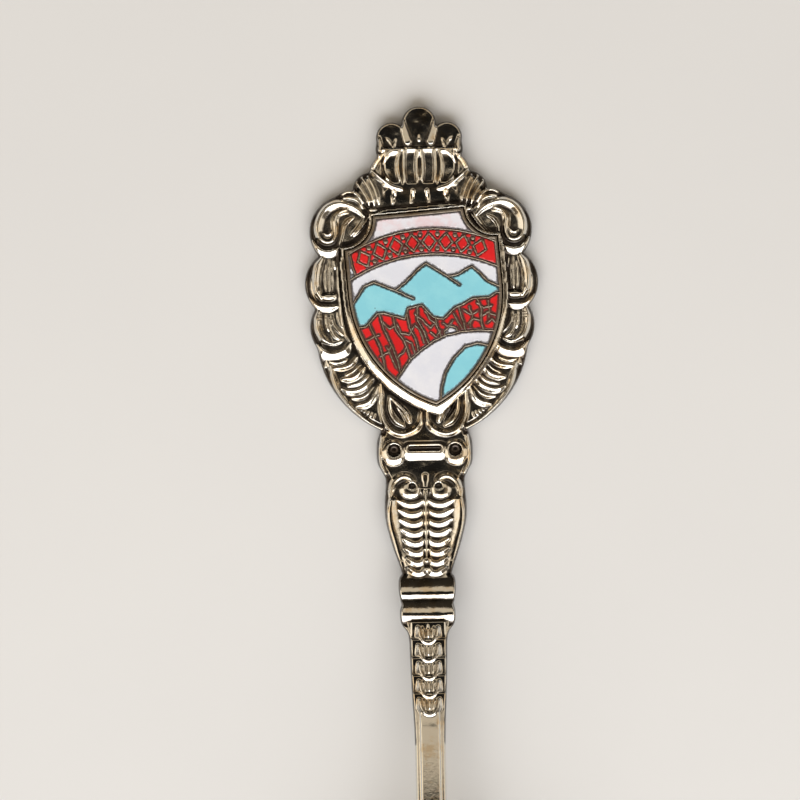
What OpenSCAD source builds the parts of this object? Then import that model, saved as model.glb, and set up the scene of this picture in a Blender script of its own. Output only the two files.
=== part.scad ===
// Souvenir spoon: one casting with an ornamental crest, and a struck badge filled with soft enamel.
//
// Frame: the spoon lies on its back on z = 0, the bowl towards -Y and the crest towards +Y.
// The origin is the middle of its length and width, on the surface it lies on.
// A station, s, is a distance down the spoon from the tip of the crown.

/* [Overall] */
// Length from the tip of the crown to the tip of the bowl
overall_len = 112; // [95:1:140]

/* [Crest] */
// Height of the crown, the melon and its foot above the badge
crown_h = 10.6; // [9.8:0.1:13]
// Height of the border below the badge
foot_h = 3.4; // [2.8:0.1:4.5]
// Width of the scrollwork on each side of the badge
border_w = 4.1; // [3.4:0.1:5]
// Thickness of the flat back plate
plate_t = 1.5; // [1.2:0.05:2.4]
// Diameter of the beads that draw the scrollwork
bead_d = 0.8; // [0.6:0.05:1]
// Outer radius of the top volutes
volute_r = 2.85; // [2.3:0.05:3.4]

/* [Badge] */
// Width of the shield
badge_w = 15.2; // [12.6:0.1:18.4]
// Length of the shield
badge_len = 19.2; // [16:0.1:23.2]
// Thickness of the struck badge, with its cell walls
badge_t = 1; // [0.8:0.05:1.5]
// Depth of the enamel cells
cell_depth = 0.35; // [0.2:0.05:0.5]
// How far the enamel lies below the tops of the cell walls
enamel_dip = 0.05; // [0:0.01:0.1]
// Width of the rim round the shield
rim_w = 0.3; // [0.2:0.05:0.5]
// Thickness of a cell wall
wall_w = 0.2; // [0.14:0.01:0.26]
// Turn of the badge and its seat in the crest, in degrees
badge_turn = 4.5; // [0:0.5:5.5]
// Gap between the badge and the wall of its seat
seat_gap = 0.1; // [0.05:0.01:0.2]
// Depth of the seat in the back plate
seat_depth = 0.5; // [0.3:0.05:0.6]
// Thickness of the adhesive film under the badge
glue_t = 0.08; // [0.05:0.01:0.15]
// Width of the raised bezel round the seat
bezel_w = 0.55; // [0.4:0.05:0.7]
// Height of the bezel above the back plate
bezel_h = 0.45; // [0.3:0.05:0.6]

/* [Neck and stem] */
// Length of the dimpled neck block
neck_len = 3.9; // [3.4:0.1:5]
// Width of the neck block
neck_w = 9.5; // [8.4:0.1:11.4]
// Diameter of the round dimples
dimple_d = 2; // [1.4:0.1:2.4]
// Length of the lyre panel under the neck
lyre_len = 9.4; // [7.8:0.1:12]
// Width of the lyre panel
lyre_w = 8.1; // [6.8:0.1:9.8]
// Number of ribs down each half of the lyre panel
rib_count = 8; // [5:1:9]
// Diameter of each of the collar's two rolls
roll_d = 2.1; // [1.7:0.1:2.6]
// Width of the collar
roll_w = 5.4; // [4.6:0.1:6.4]
// Number of husks in the chain under the collar
husk_count = 5; // [3:1:7]
// Width of the plain stem
stem_w = 3; // [2.5:0.1:3.8]
// Thickness of the plain stem
stem_t = 1.9; // [1.5:0.1:2.4]

/* [Bowl] */
// Length of the bowl
bowl_len = 34; // [28:0.5:41]
// Width of the bowl
bowl_w = 22.4; // [18.6:0.2:27]
// Depth of the bowl's hollow
bowl_depth = 6.2; // [5.1:0.1:7.5]
// Thickness of the bowl's wall
bowl_wall = 0.9; // [0.7:0.05:1.4]
// How much fuller the bowl is towards the stem
bowl_egg = 0.07; // [0:0.01:0.12]

/* [Hidden] */
ROCKS = 9;

METAL = [0.78, 0.74, 0.66];
BADGE_METAL = [0.70, 0.64, 0.52];
GLUE = [0.85, 0.80, 0.62];
WHITE = [0.93, 0.93, 0.94];
RED = [0.83, 0.06, 0.09];
BLUE = [0.51, 0.82, 0.88];

FAR = 60;
tip_y = overall_len / 2;
finial_len = crown_h + badge_len + foot_h;
half_w = badge_w / 2 + border_w;
lyre_s = finial_len + neck_len;
collar_s = lyre_s + lyre_len;
husk_s = collar_s + 2 * roll_d + 1;
husk_pitch = 1.75;
husk_end = husk_s + husk_count * husk_pitch;
heel_s = overall_len - bowl_len;
rim_z = bowl_depth + bowl_wall;
rise = rim_z - stem_t;
// The stem runs on under the rim until the bowl's wall has taken in its whole thickness.
bowl_flare = 0.85;
heel_lap = bowl_len / 2 * (1 - sqrt(1 - pow(stem_t / rim_z, 1 / bowl_flare))) + 0.6;

function place(x, s) = [x, tip_y - s];
function soft_step(t) = let (u = min(max(t, 0), 1)) u * u * (3 - 2 * u);
function under_z(s) = rise * soft_step((s - lyre_s) / (heel_s - lyre_s));
function body_t(s) = plate_t + (stem_t - plate_t) * soft_step((s - finial_len) / (husk_s - finial_len));
function top_z(s) = under_z(s) + body_t(s);
function back_to_front(p) = [for (i = [len(p) - 1:-1:0]) p[i]];
function mirrored(p) = concat(p, [for (q = back_to_front(p)) if (q[0] > 0.001) [-q[0], q[1]]]);
function arc(c, r, a0, a1, n) = [for (i = [0:n]) let (a = a0 + (a1 - a0) * i / n) c + r * [cos(a), sin(a)]];
function capsule(l, w) = concat(arc([l / 2, 0], w / 2, -90, 90, 12), arc([-l / 2, 0], w / 2, 90, 270, 12));

// ---- the shield's outline -------------------------------------------------------------------
// Its own frame has the shield's centre as origin and v towards the crown. The same outline, grown
// by an amount, is the badge, the adhesive, the seat and the bezel.

corner_r = 3.1;
shoulder_v = 2;
shield_drop = shoulder_v + badge_len / 2;
shield_r = (pow(badge_w / 2, 2) + pow(shield_drop, 2)) / badge_w;
badge_c = place(0.5, crown_h + badge_len / 2);
seat_z = plate_t - seat_depth;
badge_z = seat_z + glue_t;
cell_z = badge_z + badge_t - cell_depth;

function shield(grow) =
    let (hw = badge_w / 2, hl = badge_len / 2, cr = corner_r - grow, lean = asin(grow / cr))
    let (side_c = [hw - shield_r, shoulder_v], side_r = shield_r + grow)
    let (tip_a = -acos((shield_r - hw) / side_r))
    mirrored(concat(
        arc([hw, hl], cr, 180 - lean, 270 + lean, 10),
        arc(side_c, side_r, 0, tip_a, 20)));

module on_badge(z) translate([badge_c[0], badge_c[1], z]) rotate(badge_turn) children();

// ---- the picture on the shield --------------------------------------------------------------
// It is drawn on a sheet 15.2 wide and 19.2 high and stretched to the shield. Each line is a cell
// wall, and enamel fills what the walls leave between them.

sheet = [15.2, 19.2];
stretch = [badge_w / sheet[0], badge_len / sheet[1]];
banner_r = 15.5 * stretch[0];
banner_top = 7.9 * stretch[1];
banner_low = 5.4 * stretch[1];
lozenge = [1.35 * stretch[0], 1.7 * stretch[1]];
lozenges = 8;
stud_d = 0.4;
stud_v = 0.72 * stretch[1];

function fitted(p) = [for (q = p) [q[0] * stretch[0], q[1] * stretch[1]]];
function bow(apex, u) = [u, apex - banner_r + sqrt(banner_r * banner_r - u * u)];
function bow_line(apex) = [for (i = [-14:14]) bow(apex, i * badge_w / 24)];

top_bow = bow_line(banner_top);
low_bow = bow_line(banner_low);
banner_end = fitted([[-7.3, 7.5], [-7, 5], [-6.7, 3.5]]);
ridge = fitted([[-9.5, -0.6], [-7.3, 1.2], [-6, 2.8], [-5, 3.1], [-3, 2.1], [-1.9, 2.8], [-0.5, 4], [0.3, 4.5],
    [1, 4], [2.3, 3], [3.4, 3.1], [4.8, 3.8], [5.5, 3.1], [6.2, 2.2], [7.2, 1.6], [9.5, 0.8]]);
left_spur = fitted([[-3, 2.1], [-2, 1.5], [-1.2, 1.1]]);
right_spur = fitted([[2.3, 3], [2.9, 2.5], [3.5, 2]]);
rock_top = fitted([[-9.5, -1.5], [-6.2, -1.2], [-5.6, -0.6], [-5, 0], [-4.2, -0.1], [-2.3, -0.8], [-1.9, 0.2],
    [-0.5, 0.4], [0.5, -0.9], [1.5, -1.2], [2.7, -0.2], [3.6, 0.1], [4.7, 0.6], [6.2, 0.5], [7, 0.9], [9.5, 0.9]]);
bank = fitted([[-5.6, -9.5], [-4.6, -8], [-3.6, -6.6], [-2.2, -4.9], [-1.1, -4.1], [0.3, -3.3], [1.6, -2.8],
    [3.2, -2.6], [4.8, -2.6], [6.2, -2.8], [9.5, -3.6]]);
shore = fitted([[0.4, -11], [0.5, -9.1], [0.7, -7.9], [1.2, -6.5], [2.2, -5.1], [3.4, -4.1], [4.6, -3.9],
    [5.7, -4.2], [9.5, -5.6]]);
patch = fitted([[1.4, -3.4], [1.5, -2.4], [2.1, -1.9], [2.7, -2.2], [3, -3.2]]);
// The clefts between the rocks, from left to right. Each runs past the rocks' top and the bank.
clefts = [for (p = [
    [[-6.2, 0], [-5.7, -1.5], [-5, -3.4], [-4.8, -4.8], [-4.6, -8]],
    [[-5, 1], [-4.5, -1.6], [-3.9, -3.2], [-3.4, -5], [-3, -8]],
    [[-3.6, 1], [-3.3, -1.8], [-2.6, -2.9], [-2.3, -4], [-1.8, -6]],
    [[-2.2, 1], [-1.9, -1.7], [-1.4, -3], [-1.1, -5]],
    [[-0.8, 1.5], [-1.1, -1], [-0.5, -2.3], [0.1, -4.5]],
    [[0.6, 0.5], [0.8, -1.8], [1, -2.4], [1.2, -4]],
    [[3, 1], [3.3, -0.9], [3.5, -1.8], [3.7, -3.8]],
    [[4.7, 1.6], [5.4, -0.6], [5.2, -1.6], [5.6, -4]]]) fitted(p)];

function heading(p, i) = let (d = p[min(i + 1, len(p) - 1)] - p[max(i - 1, 0)]) d / norm(d);
function beside(p, off) = [for (i = [0:len(p) - 1]) let (d = heading(p, i)) p[i] + off * [-d[1], d[0]]];
function pen(p) = concat(beside(p, wall_w / 2), back_to_front(beside(p, -wall_w / 2)));
function under(p) = concat(p, [[FAR, -FAR], [-FAR, -FAR]]);
function diamond(grow) = let (r = lozenge / 2 + [grow, grow]) [[r[0], 0], [0, r[1]], [-r[0], 0], [0, -r[1]]];
function left_edge(i) = i == 0 ? [[-FAR, FAR], [-FAR, -FAR]] : clefts[i - 1];
function right_edge(i) = i == ROCKS - 1 ? [[FAR, FAR], [FAR, -FAR]] : clefts[i];

module along_banner(count) {
    for (i = [0:count - 1]) {
        u = (i - (count - 1) / 2) * badge_w * 0.87 / lozenges;
        translate(bow((banner_top + banner_low) / 2, u)) rotate(-asin(u / banner_r)) children();
    }
}

module lozenge_rings() along_banner(lozenges) difference() {
    polygon(diamond(wall_w / 2));
    polygon(diamond(-wall_w / 2));
}

module studs() along_banner(lozenges - 1) for (v = [-stud_v, stud_v]) translate([0, v]) circle(d = stud_d, $fn = 24);

module rock_band() difference() {
    polygon(under(rock_top));
    polygon(under(bank));
}

module walls() {
    for (p = [top_bow, low_bow, ridge, left_spur, right_spur, rock_top, bank, shore]) polygon(pen(p));
    intersection() {
        rock_band();
        union() {
            for (p = clefts) polygon(pen(p));
            polygon(pen(patch));
        }
    }
    intersection() {
        difference() {
            polygon(under(top_bow));
            polygon(under(low_bow));
        }
        polygon(pen(banner_end));
    }
    lozenge_rings();
    studs();
    // Plain metal where the top panel would taper to a sliver under each corner.
    each_side() difference() {
        translate([badge_w / 2 - 0.8, 0]) square(FAR);
        polygon(under(top_bow));
    }
}

// Enamel in the cells that its children cover.
module enamel(shade) color(shade) on_badge(cell_z) linear_extrude(cell_depth - enamel_dip) difference() {
    intersection() {
        polygon(shield(-rim_w));
        children();
    }
    walls();
}

// ---- the casting's building blocks ----------------------------------------------------------

// A half-sunk round bead along a circular arc, at height z. Angles run counter-clockwise from +X.
module bead_arc(x, s, r, a0, a1, z, d) {
    translate([x, tip_y - s, z]) rotate(a0) rotate_extrude(angle = a1 - a0, $fn = 64)
        translate([r, 0]) circle(d = d, $fn = 24);
}

// A half-sunk round bead from one place to another, at height z.
module bead_bar(from, to, z, d) {
    run = to - from;
    translate([from[0], from[1], z]) rotate([0, 90, atan2(run[1], run[0])])
        cylinder(d = d, h = norm(run), $fn = 24);
}

// A solid that runs across the spoon with the given outline in Y and Z.
module across(outline) translate([-FAR, 0, 0]) rotate([90, 0, 90]) linear_extrude(2 * FAR) polygon(outline);

module disc(x, s, r) translate(place(x, s)) circle(r = r, $fn = 96);

module each_side() {
    children();
    mirror([1, 0, 0]) children();
}

stations = concat([0, finial_len], [for (i = [0:20]) lyre_s + (heel_s - lyre_s) * i / 20], [heel_s + heel_lap]);
underside = [for (s = stations) [tip_y - s, under_z(s)]];
topside = [for (s = stations) [tip_y - s, top_z(s)]];

volute_x = half_w - 0.5 - volute_r;
volute_s = crown_h + 1;
body_r = half_w - 1.1;
body_s = finial_len - body_r;
lobe_r = 3.5;
upper_lobe_s = crown_h + badge_len * 0.365;
lower_lobe_s = crown_h + badge_len * 0.59;
melon_s = crown_h - 4.6;

// ---- the crest in plan ----------------------------------------------------------------------

module crest_plan() {
    disc(0, body_s, body_r);
    each_side() {
        disc(volute_x, volute_s, volute_r);
        disc(half_w - lobe_r, upper_lobe_s, lobe_r);
        disc(half_w - 0.45 - lobe_r, lower_lobe_s, lobe_r);
    }
    polygon(mirrored([place(4.2, melon_s - 0.4), place(6.4, crown_h - 2.9),
        place(volute_x, volute_s - volute_r + 0.2), place(half_w - 1.4, volute_s), place(half_w - 1.8, body_s)]));
    translate(place(0, melon_s)) polygon(capsule(4.6, 3.9));
    disc(0, 1.7, 1.7);
    each_side() disc(2.5, 3, 1.7);
}

lyre_side = [for (t = [0:0.1:1])
    place(lyre_w / 2 + (roll_w / 2 - 0.3 - lyre_w / 2) * soft_step((t - 0.35) / 0.65), lyre_s + t * lyre_len)];

module stem_plan() polygon(mirrored(concat(
    [place(neck_w / 2 - 0.5, finial_len - 1.2), place(neck_w / 2, finial_len + 0.4)],
    [place(neck_w / 2 - 0.1, finial_len + neck_len * 0.6), place(lyre_w / 2 - 0.5, lyre_s - 0.3)],
    lyre_side,
    [place(roll_w / 2 - 0.2, husk_s - 0.6), place(stem_w / 2 + 0.35, husk_s), place(stem_w / 2 + 0.2, husk_end)],
    [place(stem_w / 2, husk_end + 4), place(stem_w / 2, heel_s - 6), place(stem_w / 2 + 0.5, heel_s - 1.5)],
    [place(stem_w / 2 + 1.2, heel_s + heel_lap)])));

// ---- the relief on the casting --------------------------------------------------------------

module crown() {
    for (lobe = [[0, 1.6, 3.3], [-2.5, 2.9, 3.9], [2.5, 2.9, 3.9]]) {
        translate([lobe[0], tip_y - lobe[1], plate_t - 0.5]) sphere(d = 2.6, $fn = 32);
        bead_bar(place(lobe[0], lobe[1]), place(lobe[0], melon_s), plate_t - 0.5, 2.6);
    }
    difference() {
        translate([0, tip_y - melon_s, plate_t - 0.5]) {
            rotate([0, 90, 0]) cylinder(d = 3.6, h = 4.8, center = true, $fn = 32);
            for (x = [-2.4, 2.4]) translate([x, 0, 0]) sphere(d = 3.6, $fn = 32);
        }
        for (x = [-2.25, -0.75, 0.75, 2.25]) translate([x, tip_y - melon_s, plate_t - 0.5])
            rotate([0, 90, 0]) rotate_extrude($fn = 32) translate([1.8, 0]) circle(d = 0.4, $fn = 16);
    }
    bead_bar(place(-5, crown_h - 0.8), place(5, crown_h - 0.8), plate_t, 0.6);
}

module border() each_side() {
    bead_arc(volute_x, volute_s, volute_r - 0.6, -70, 190, plate_t, bead_d);
    bead_arc(volute_x, volute_s, volute_r - 1.9, -160, 60, plate_t, bead_d * 0.8);
    for (lobe = [[half_w, upper_lobe_s], [half_w - 0.45, lower_lobe_s]]) {
        bead_arc(lobe[0] - lobe_r, lobe[1], lobe_r - 0.5, -60, 45, plate_t, bead_d);
        for (inset = [1.6, 2.6]) {
            x = lobe[0] - inset;
            bead_bar(place(x, lobe[1] - 1.4), place(x, lobe[1] + 1.2), plate_t, bead_d * 0.7);
        }
    }
    bead_arc(0, body_s, body_r - 0.5, -65, -20, plate_t, bead_d);
    for (a = [-56, -46, -36, -26]) {
        reach = [cos(a), sin(a)];
        centre = place(0, body_s);
        bead_bar(centre + (body_r - 3) * reach, centre + (body_r - 0.6) * reach, plate_t, bead_d * 0.8);
    }
    bead_arc(2.3, finial_len - 2, 1.5, -180, 60, plate_t, bead_d * 0.8);
}

module bezel() on_badge(0) linear_extrude(plate_t + bezel_h) difference() {
    polygon(shield(seat_gap + bezel_w));
    polygon(shield(seat_gap));
}

dimple_s = finial_len + neck_len * 0.35;

module neck_rings() each_side()
    bead_arc(neck_w / 2 - dimple_d / 2 - 0.7, dimple_s, dimple_d / 2 + 0.1, 0, 360, top_z(dimple_s), 0.5);

module neck_cuts() {
    each_side() translate([neck_w / 2 - dimple_d / 2 - 0.7, tip_y - dimple_s, top_z(dimple_s) - 0.4])
        cylinder(d = dimple_d, h = 5, $fn = 48);
    translate([0, tip_y - dimple_s, top_z(dimple_s) - 0.4]) linear_extrude(5) polygon(capsule(1.6, 1));
}

module lyre_ribs() each_side() for (i = [0:rib_count - 1]) {
    t = (i + 1.6) / (rib_count + 1.6);
    s = lyre_s + lyre_len * t;
    r = lyre_w * (0.2 - 0.08 * t);
    bead_arc(r + 0.1, s - 0.8, r - 0.1, 215, 325, top_z(s), 0.5);
}

module collar() for (i = [0.5, 1.5]) {
    s = collar_s + i * roll_d;
    translate([0, tip_y - s, top_z(s) - roll_d / 2 + 0.35]) rotate([0, 90, 0])
        cylinder(d = roll_d, h = roll_w, center = true, $fn = 48);
}

module husks() for (i = [0:husk_count - 1]) {
    s = husk_s + (i + 0.6) * husk_pitch;
    bead_arc(0, s - 0.5, 0.85, 190, 350, top_z(s), 0.5);
}

// ---- the bowl -------------------------------------------------------------------------------

bowl_fine = 56;
bowl_rings = 12;

function bowl_ring(grow, depth, r) = [for (i = [0:bowl_fine - 1]) let (a = 360 * i / bowl_fine)
    [(bowl_w / 2 + grow) * r * sin(a) * (1 + bowl_egg * cos(a)),
     tip_y - heel_s - bowl_len / 2 + (bowl_len / 2 + grow) * r * cos(a),
     rim_z - depth * pow(1 - r * r, bowl_flare)]];

module bowl_solid(grow, depth, lid) {
    rings = [for (k = [0:bowl_rings - 1]) bowl_ring(grow, depth, cos(90 * k / bowl_rings))];
    points = concat([for (p = rings[0]) p + [0, 0, lid]], [for (ring = rings, p = ring) p],
        [[0, tip_y - heel_s - bowl_len / 2, rim_z - depth]]);
    n = bowl_fine;
    sides = [for (k = [0:bowl_rings - 1], i = [0:n - 1]) let (j = (i + 1) % n)
        [k * n + j, k * n + i, (k + 1) * n + i, (k + 1) * n + j]];
    bottom = [for (i = [0:n - 1]) [bowl_rings * n + (i + 1) % n, bowl_rings * n + i, len(points) - 1]];
    polyhedron(points, concat([[for (i = [0:n - 1]) i]], sides, bottom));
}

// ---- the pieces -----------------------------------------------------------------------------

module spoon_casting() color(METAL) difference() {
    union() {
        intersection() {
            union() {
                linear_extrude(plate_t) crest_plan();
                intersection() {
                    linear_extrude(FAR) stem_plan();
                    across(concat(underside, back_to_front(topside)));
                }
                bezel();
                crown();
                border();
                neck_rings();
                lyre_ribs();
                collar();
                husks();
            }
            across(concat(underside, [[-2 * FAR, rise], [-2 * FAR, FAR], [2 * FAR, FAR], [2 * FAR, 0]]));
        }
        bowl_solid(0, rim_z, 0.001);
    }
    bowl_solid(-bowl_wall, bowl_depth, 5);
    on_badge(seat_z) linear_extrude(FAR) polygon(shield(seat_gap));
    neck_cuts();
}

module badge_adhesive() color(GLUE) on_badge(seat_z) linear_extrude(glue_t) polygon(shield(-rim_w));

module badge_plate() color(BADGE_METAL) {
    on_badge(badge_z) linear_extrude(badge_t - cell_depth) polygon(shield(0));
    on_badge(cell_z) linear_extrude(cell_depth) {
        difference() {
            polygon(shield(0));
            polygon(shield(-rim_w));
        }
        intersection() {
            polygon(shield(-rim_w / 2));
            walls();
        }
    }
}

module enamel_top_panel() enamel(WHITE) difference() {
    square(2 * FAR, center = true);
    polygon(under(top_bow));
}

module banner_band() difference() {
    polygon(under(top_bow));
    polygon(under(low_bow));
}

module left_of_banner() polygon(concat(banner_end, [[-FAR, -FAR], [-FAR, FAR]]));

module enamel_banner() enamel(RED) difference() {
    banner_band();
    left_of_banner();
    along_banner(lozenges) polygon(diamond(0));
}

module enamel_banner_lozenges() enamel(RED) along_banner(lozenges) polygon(diamond(0));

module enamel_banner_end() enamel(WHITE) intersection() {
    banner_band();
    left_of_banner();
}

module enamel_sky() enamel(WHITE) difference() {
    polygon(under(low_bow));
    polygon(under(ridge));
}

module enamel_mountains() enamel(BLUE) difference() {
    polygon(under(ridge));
    polygon(under(rock_top));
}

module enamel_rock(i) enamel(RED) difference() {
    intersection() {
        rock_band();
        polygon(concat(left_edge(i), back_to_front(right_edge(i))));
    }
    polygon(patch);
}

module enamel_snow_patch() enamel(WHITE) intersection() {
    rock_band();
    polygon(patch);
}

module lake_area() polygon(concat(shore, [[FAR, -FAR], [shore[0][0], -FAR]]));

module enamel_river() enamel(WHITE) difference() {
    polygon(under(bank));
    lake_area();
}

module enamel_lake() enamel(BLUE) lake_area();

spoon_casting();
badge_adhesive();
badge_plate();
enamel_top_panel();
enamel_banner();
enamel_banner_lozenges();
enamel_banner_end();
enamel_sky();
enamel_mountains();
for (i = [1:ROCKS]) enamel_rock(i - 1);
enamel_snow_patch();
enamel_river();
enamel_lake();
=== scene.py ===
"""Souvenir spoon: one plated casting with a scrolled crest, and a struck badge filled with soft enamel.

The sections follow the order of assembly: casting, adhesive, badge, enamel, then the table, the light
and the camera. Sizes are in millimetres until a mesh is made. A place on the spoon is (x, s): x across
from its middle line, and s, its station, down from the tip of the crown.
"""
import math
import bmesh
import bpy
import numpy as np
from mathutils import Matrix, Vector
from mathutils.geometry import delaunay_2d_cdt


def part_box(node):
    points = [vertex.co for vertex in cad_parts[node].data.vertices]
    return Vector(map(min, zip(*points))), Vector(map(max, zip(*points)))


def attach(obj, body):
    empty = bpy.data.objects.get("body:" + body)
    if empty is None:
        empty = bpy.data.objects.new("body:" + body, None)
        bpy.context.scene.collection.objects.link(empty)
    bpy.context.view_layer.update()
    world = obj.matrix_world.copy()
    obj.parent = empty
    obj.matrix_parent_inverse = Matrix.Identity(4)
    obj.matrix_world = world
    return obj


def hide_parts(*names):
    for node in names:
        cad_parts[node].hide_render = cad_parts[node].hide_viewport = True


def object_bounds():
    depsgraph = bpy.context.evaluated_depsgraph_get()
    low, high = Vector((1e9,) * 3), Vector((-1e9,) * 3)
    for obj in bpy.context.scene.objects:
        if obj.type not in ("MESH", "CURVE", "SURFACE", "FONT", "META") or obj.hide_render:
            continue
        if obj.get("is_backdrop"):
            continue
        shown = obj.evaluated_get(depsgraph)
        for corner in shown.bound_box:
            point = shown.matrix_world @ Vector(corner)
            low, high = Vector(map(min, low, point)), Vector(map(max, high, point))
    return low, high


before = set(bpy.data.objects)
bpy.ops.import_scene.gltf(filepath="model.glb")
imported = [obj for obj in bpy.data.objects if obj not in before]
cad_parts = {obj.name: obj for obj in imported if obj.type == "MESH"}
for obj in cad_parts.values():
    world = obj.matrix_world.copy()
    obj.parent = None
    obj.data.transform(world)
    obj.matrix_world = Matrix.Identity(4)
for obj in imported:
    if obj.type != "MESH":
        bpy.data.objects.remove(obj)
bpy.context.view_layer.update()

# ==== The casting ============================================================================
# Bowl, stem, collar, lyre panel, neck and crest are one die casting, plated all over. The relief
# is on its face only; the back is flat. It is made here as one skin: a face that rises and falls
# with the die's strokes, a rolled edge, and a plain back.

BODY = "root"
MM = 0.001
casting_low, casting_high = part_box("spoon_casting")
CROWN_Y = casting_high.y / MM
SPOON_LEN = (casting_high.y - casting_low.y) / MM
BOWL_LEN = 34.0
BOWL_W = 22.4
BOWL_WALL = 0.9
BOWL_EGG = 0.07
BOWL_FLARE = 0.85
RIM_Z = casting_high.z / MM
BOWL_DEPTH = RIM_Z - BOWL_WALL
HEEL_S = SPOON_LEN - BOWL_LEN
BOWL_S = HEEL_S + BOWL_LEN / 2
STEM_T = 1.9
PLATE_T = 1.5
CREST_END = 33.2
LYRE_S = 37.1
HUSK_S = 51.7
RISE = RIM_Z - STEM_T

FLANGE_Z = 1.0
TROUGH_Z = 1.25
PITCH = 0.082
SEAM_S = 62.9
EDGE_R = 0.2
EDGE_Z = 0.55  # height of the outline's edge above the back
BEVEL = 0.28  # fall of the stem's bevels below its middle panel


def soft_step(t):
    t = np.clip(t, 0, 1)
    return t * t * (3 - 2 * t)


def smooth_max(a, b, k):
    h = np.clip(0.5 + 0.5 * (a - b) / k, 0, 1)
    return b + (a - b) * h + k * h * (1 - h)


def smooth_min(a, b, k):
    return -smooth_max(-a, -b, k)


def under_z(s):
    """Height of the casting's back."""
    return RISE * soft_step((s - LYRE_S) / (HEEL_S - LYRE_S))


def thickness(s):
    """Thickness of the plain casting, without its relief."""
    return PLATE_T + (STEM_T - PLATE_T) * soft_step((s - CREST_END) / (HUSK_S - CREST_END))


def curve(points, steps=10):
    """A smooth path (Catmull-Rom) through the points."""
    p = np.array(points, float)
    p = np.vstack([2 * p[0] - p[1], p, 2 * p[-1] - p[-2]])
    t = np.linspace(0, 1, steps, endpoint=False)[:, None]
    rows = []
    for a, b, c, d in zip(p, p[1:], p[2:], p[3:]):
        second = (2 * a - 5 * b + 4 * c - d) * t ** 2
        rows.append(0.5 * (2 * b + (c - a) * t + second + (3 * b - a - 3 * c + d) * t ** 3))
    return np.vstack(rows + [p[-2:-1]])


# The crest's outline: round lobes that run into each other. Below it, half widths by station.
LOBES = [(0.05, 1.65, 1.65), (2.75, 3.1, 1.55), (3, 4.2, 1.35), (0, 5.9, 3.4), (3, 6.6, 2), (4.9, 8.3, 1.8),
         (7.45, 12.4, 3.65), (8.15, 17.6, 3.5), (7.8, 21.9, 3.4), (0, 22.6, 10.6), (7.1, 10, 1.7),
         (0, 12.5, 6), (0, 3.4, 2.2), (2.6, 4.4, 1.6)]
NECK_SIDE = curve([(4.3, 32.2), (4.7, 33.3), (4.8, 34.6), (4.7, 35.6), (4.25, 36.5), (3.95, 37.2), (4, 38.5),
                   (4.1, 40), (4, 41.4), (3.65, 42.9), (3.2, 44.4), (2.7, 45.8), (2.5, 46.5)])
COLLAR_SIDE = curve([(2.5, 46.6), (2.8, 47.1), (2.85, 48.2), (2.7, 49.2), (2.6, 49.6), (2.75, 50.2),
                     (2.75, 51), (2.6, 51.6), (2.1, 52.3), (1.9, 53.2), (1.85, 55), (1.75, 58), (1.55, 62),
                     (1.5, 66), (1.5, 70)])
SIDE = np.vstack([NECK_SIDE, COLLAR_SIDE])


def stem_half(s):
    return np.interp(s, SIDE[:, 1], SIDE[:, 0])


def plan(x, s):
    """How far a place is inside the casting's outline; negative outside."""
    ax = np.abs(x)
    f = np.full(np.shape(ax), -50)
    for cx, cs, r in LOBES:
        f = smooth_max(f, r - np.hypot(ax - cx, s - cs), 0.25)
    side = np.where(s > 32, (stem_half(s) - ax) * 0.95, -50)
    return smooth_max(f, side, 0.2)


xs = np.arange(0, 12.4, PITCH)
ss = np.arange(-0.3, SEAM_S + PITCH / 2, PITCH)
X, S = np.meshgrid(xs, ss)
inside = plan(X, S)
level = np.full(X.shape, TROUGH_Z)


def near(path, reach):
    """The window of the grid within reach of a path."""
    lo, hi = path.min(0) - reach, path.max(0) + reach
    cols = slice(max(np.searchsorted(xs, lo[0]), 0), np.searchsorted(xs, hi[0]) + 1)
    rows = slice(max(np.searchsorted(ss, lo[1]), 0), np.searchsorted(ss, hi[1]) + 1)
    return rows, cols


def measure(path, x, s):
    """Distance to a path, how far along it the nearest place is, and which side the place is on."""
    best = np.full(x.shape, 1e9)
    at, side = np.zeros(x.shape), np.ones(x.shape)
    for i, (a, b) in enumerate(zip(path, path[1:])):
        d = b - a
        t = np.clip(((x - a[0]) * d[0] + (s - a[1]) * d[1]) / max(d @ d, 1e-9), 0, 1)
        r = np.hypot(x - a[0] - t * d[0], s - a[1] - t * d[1])
        closer = r < best
        best = np.where(closer, r, best)
        at = np.where(closer, (i + t) / (len(path) - 1), at)
        side = np.where(closer, np.sign(d[0] * (s - a[1]) - d[1] * (x - a[0])), side)
    return best, at, side


def tapered(t, ends, run):
    """Share of the full size along a path, which falls to the given shares at its two ends."""
    near_end = ends[0] + (1 - ends[0]) * t / run
    far_end = ends[1] + (1 - ends[1]) * (1 - t) / run
    return np.minimum(1, np.minimum(near_end, far_end))


def ridge(points, width, rise, lean=0, ends=(0.35, 0.35), base=TROUGH_Z, crest=0.25, k=0.04):
    """A ridge along a path, like a low roof with a rounded crest. The crest leans to the path's right, in
    shares of the half width; width and rise may change along the path, and fall to shares at the two ends."""
    path = curve(points)
    width, rise = np.broadcast_to(width, 2), np.broadcast_to(rise, 2)
    win = near(path, width.max())
    d, t, side = measure(path, X[win], S[win])
    share = tapered(t, ends, 0.2)
    q = d * side / (share * (width[0] + (width[1] - width[0]) * t) / 2)
    p = np.minimum(np.where(q > lean, (q - lean) / (1 - lean), (lean - q) / (1 + lean)), 2)
    roof = (math.hypot(1, crest) - np.hypot(p, crest)) / (math.hypot(1, crest) - crest)
    up = 0.8 * (rise[0] + (rise[1] - rise[0]) * t) * (0.4 + 0.6 * share)
    level[win] = smooth_max(level[win], base + up * roof, k)


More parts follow.
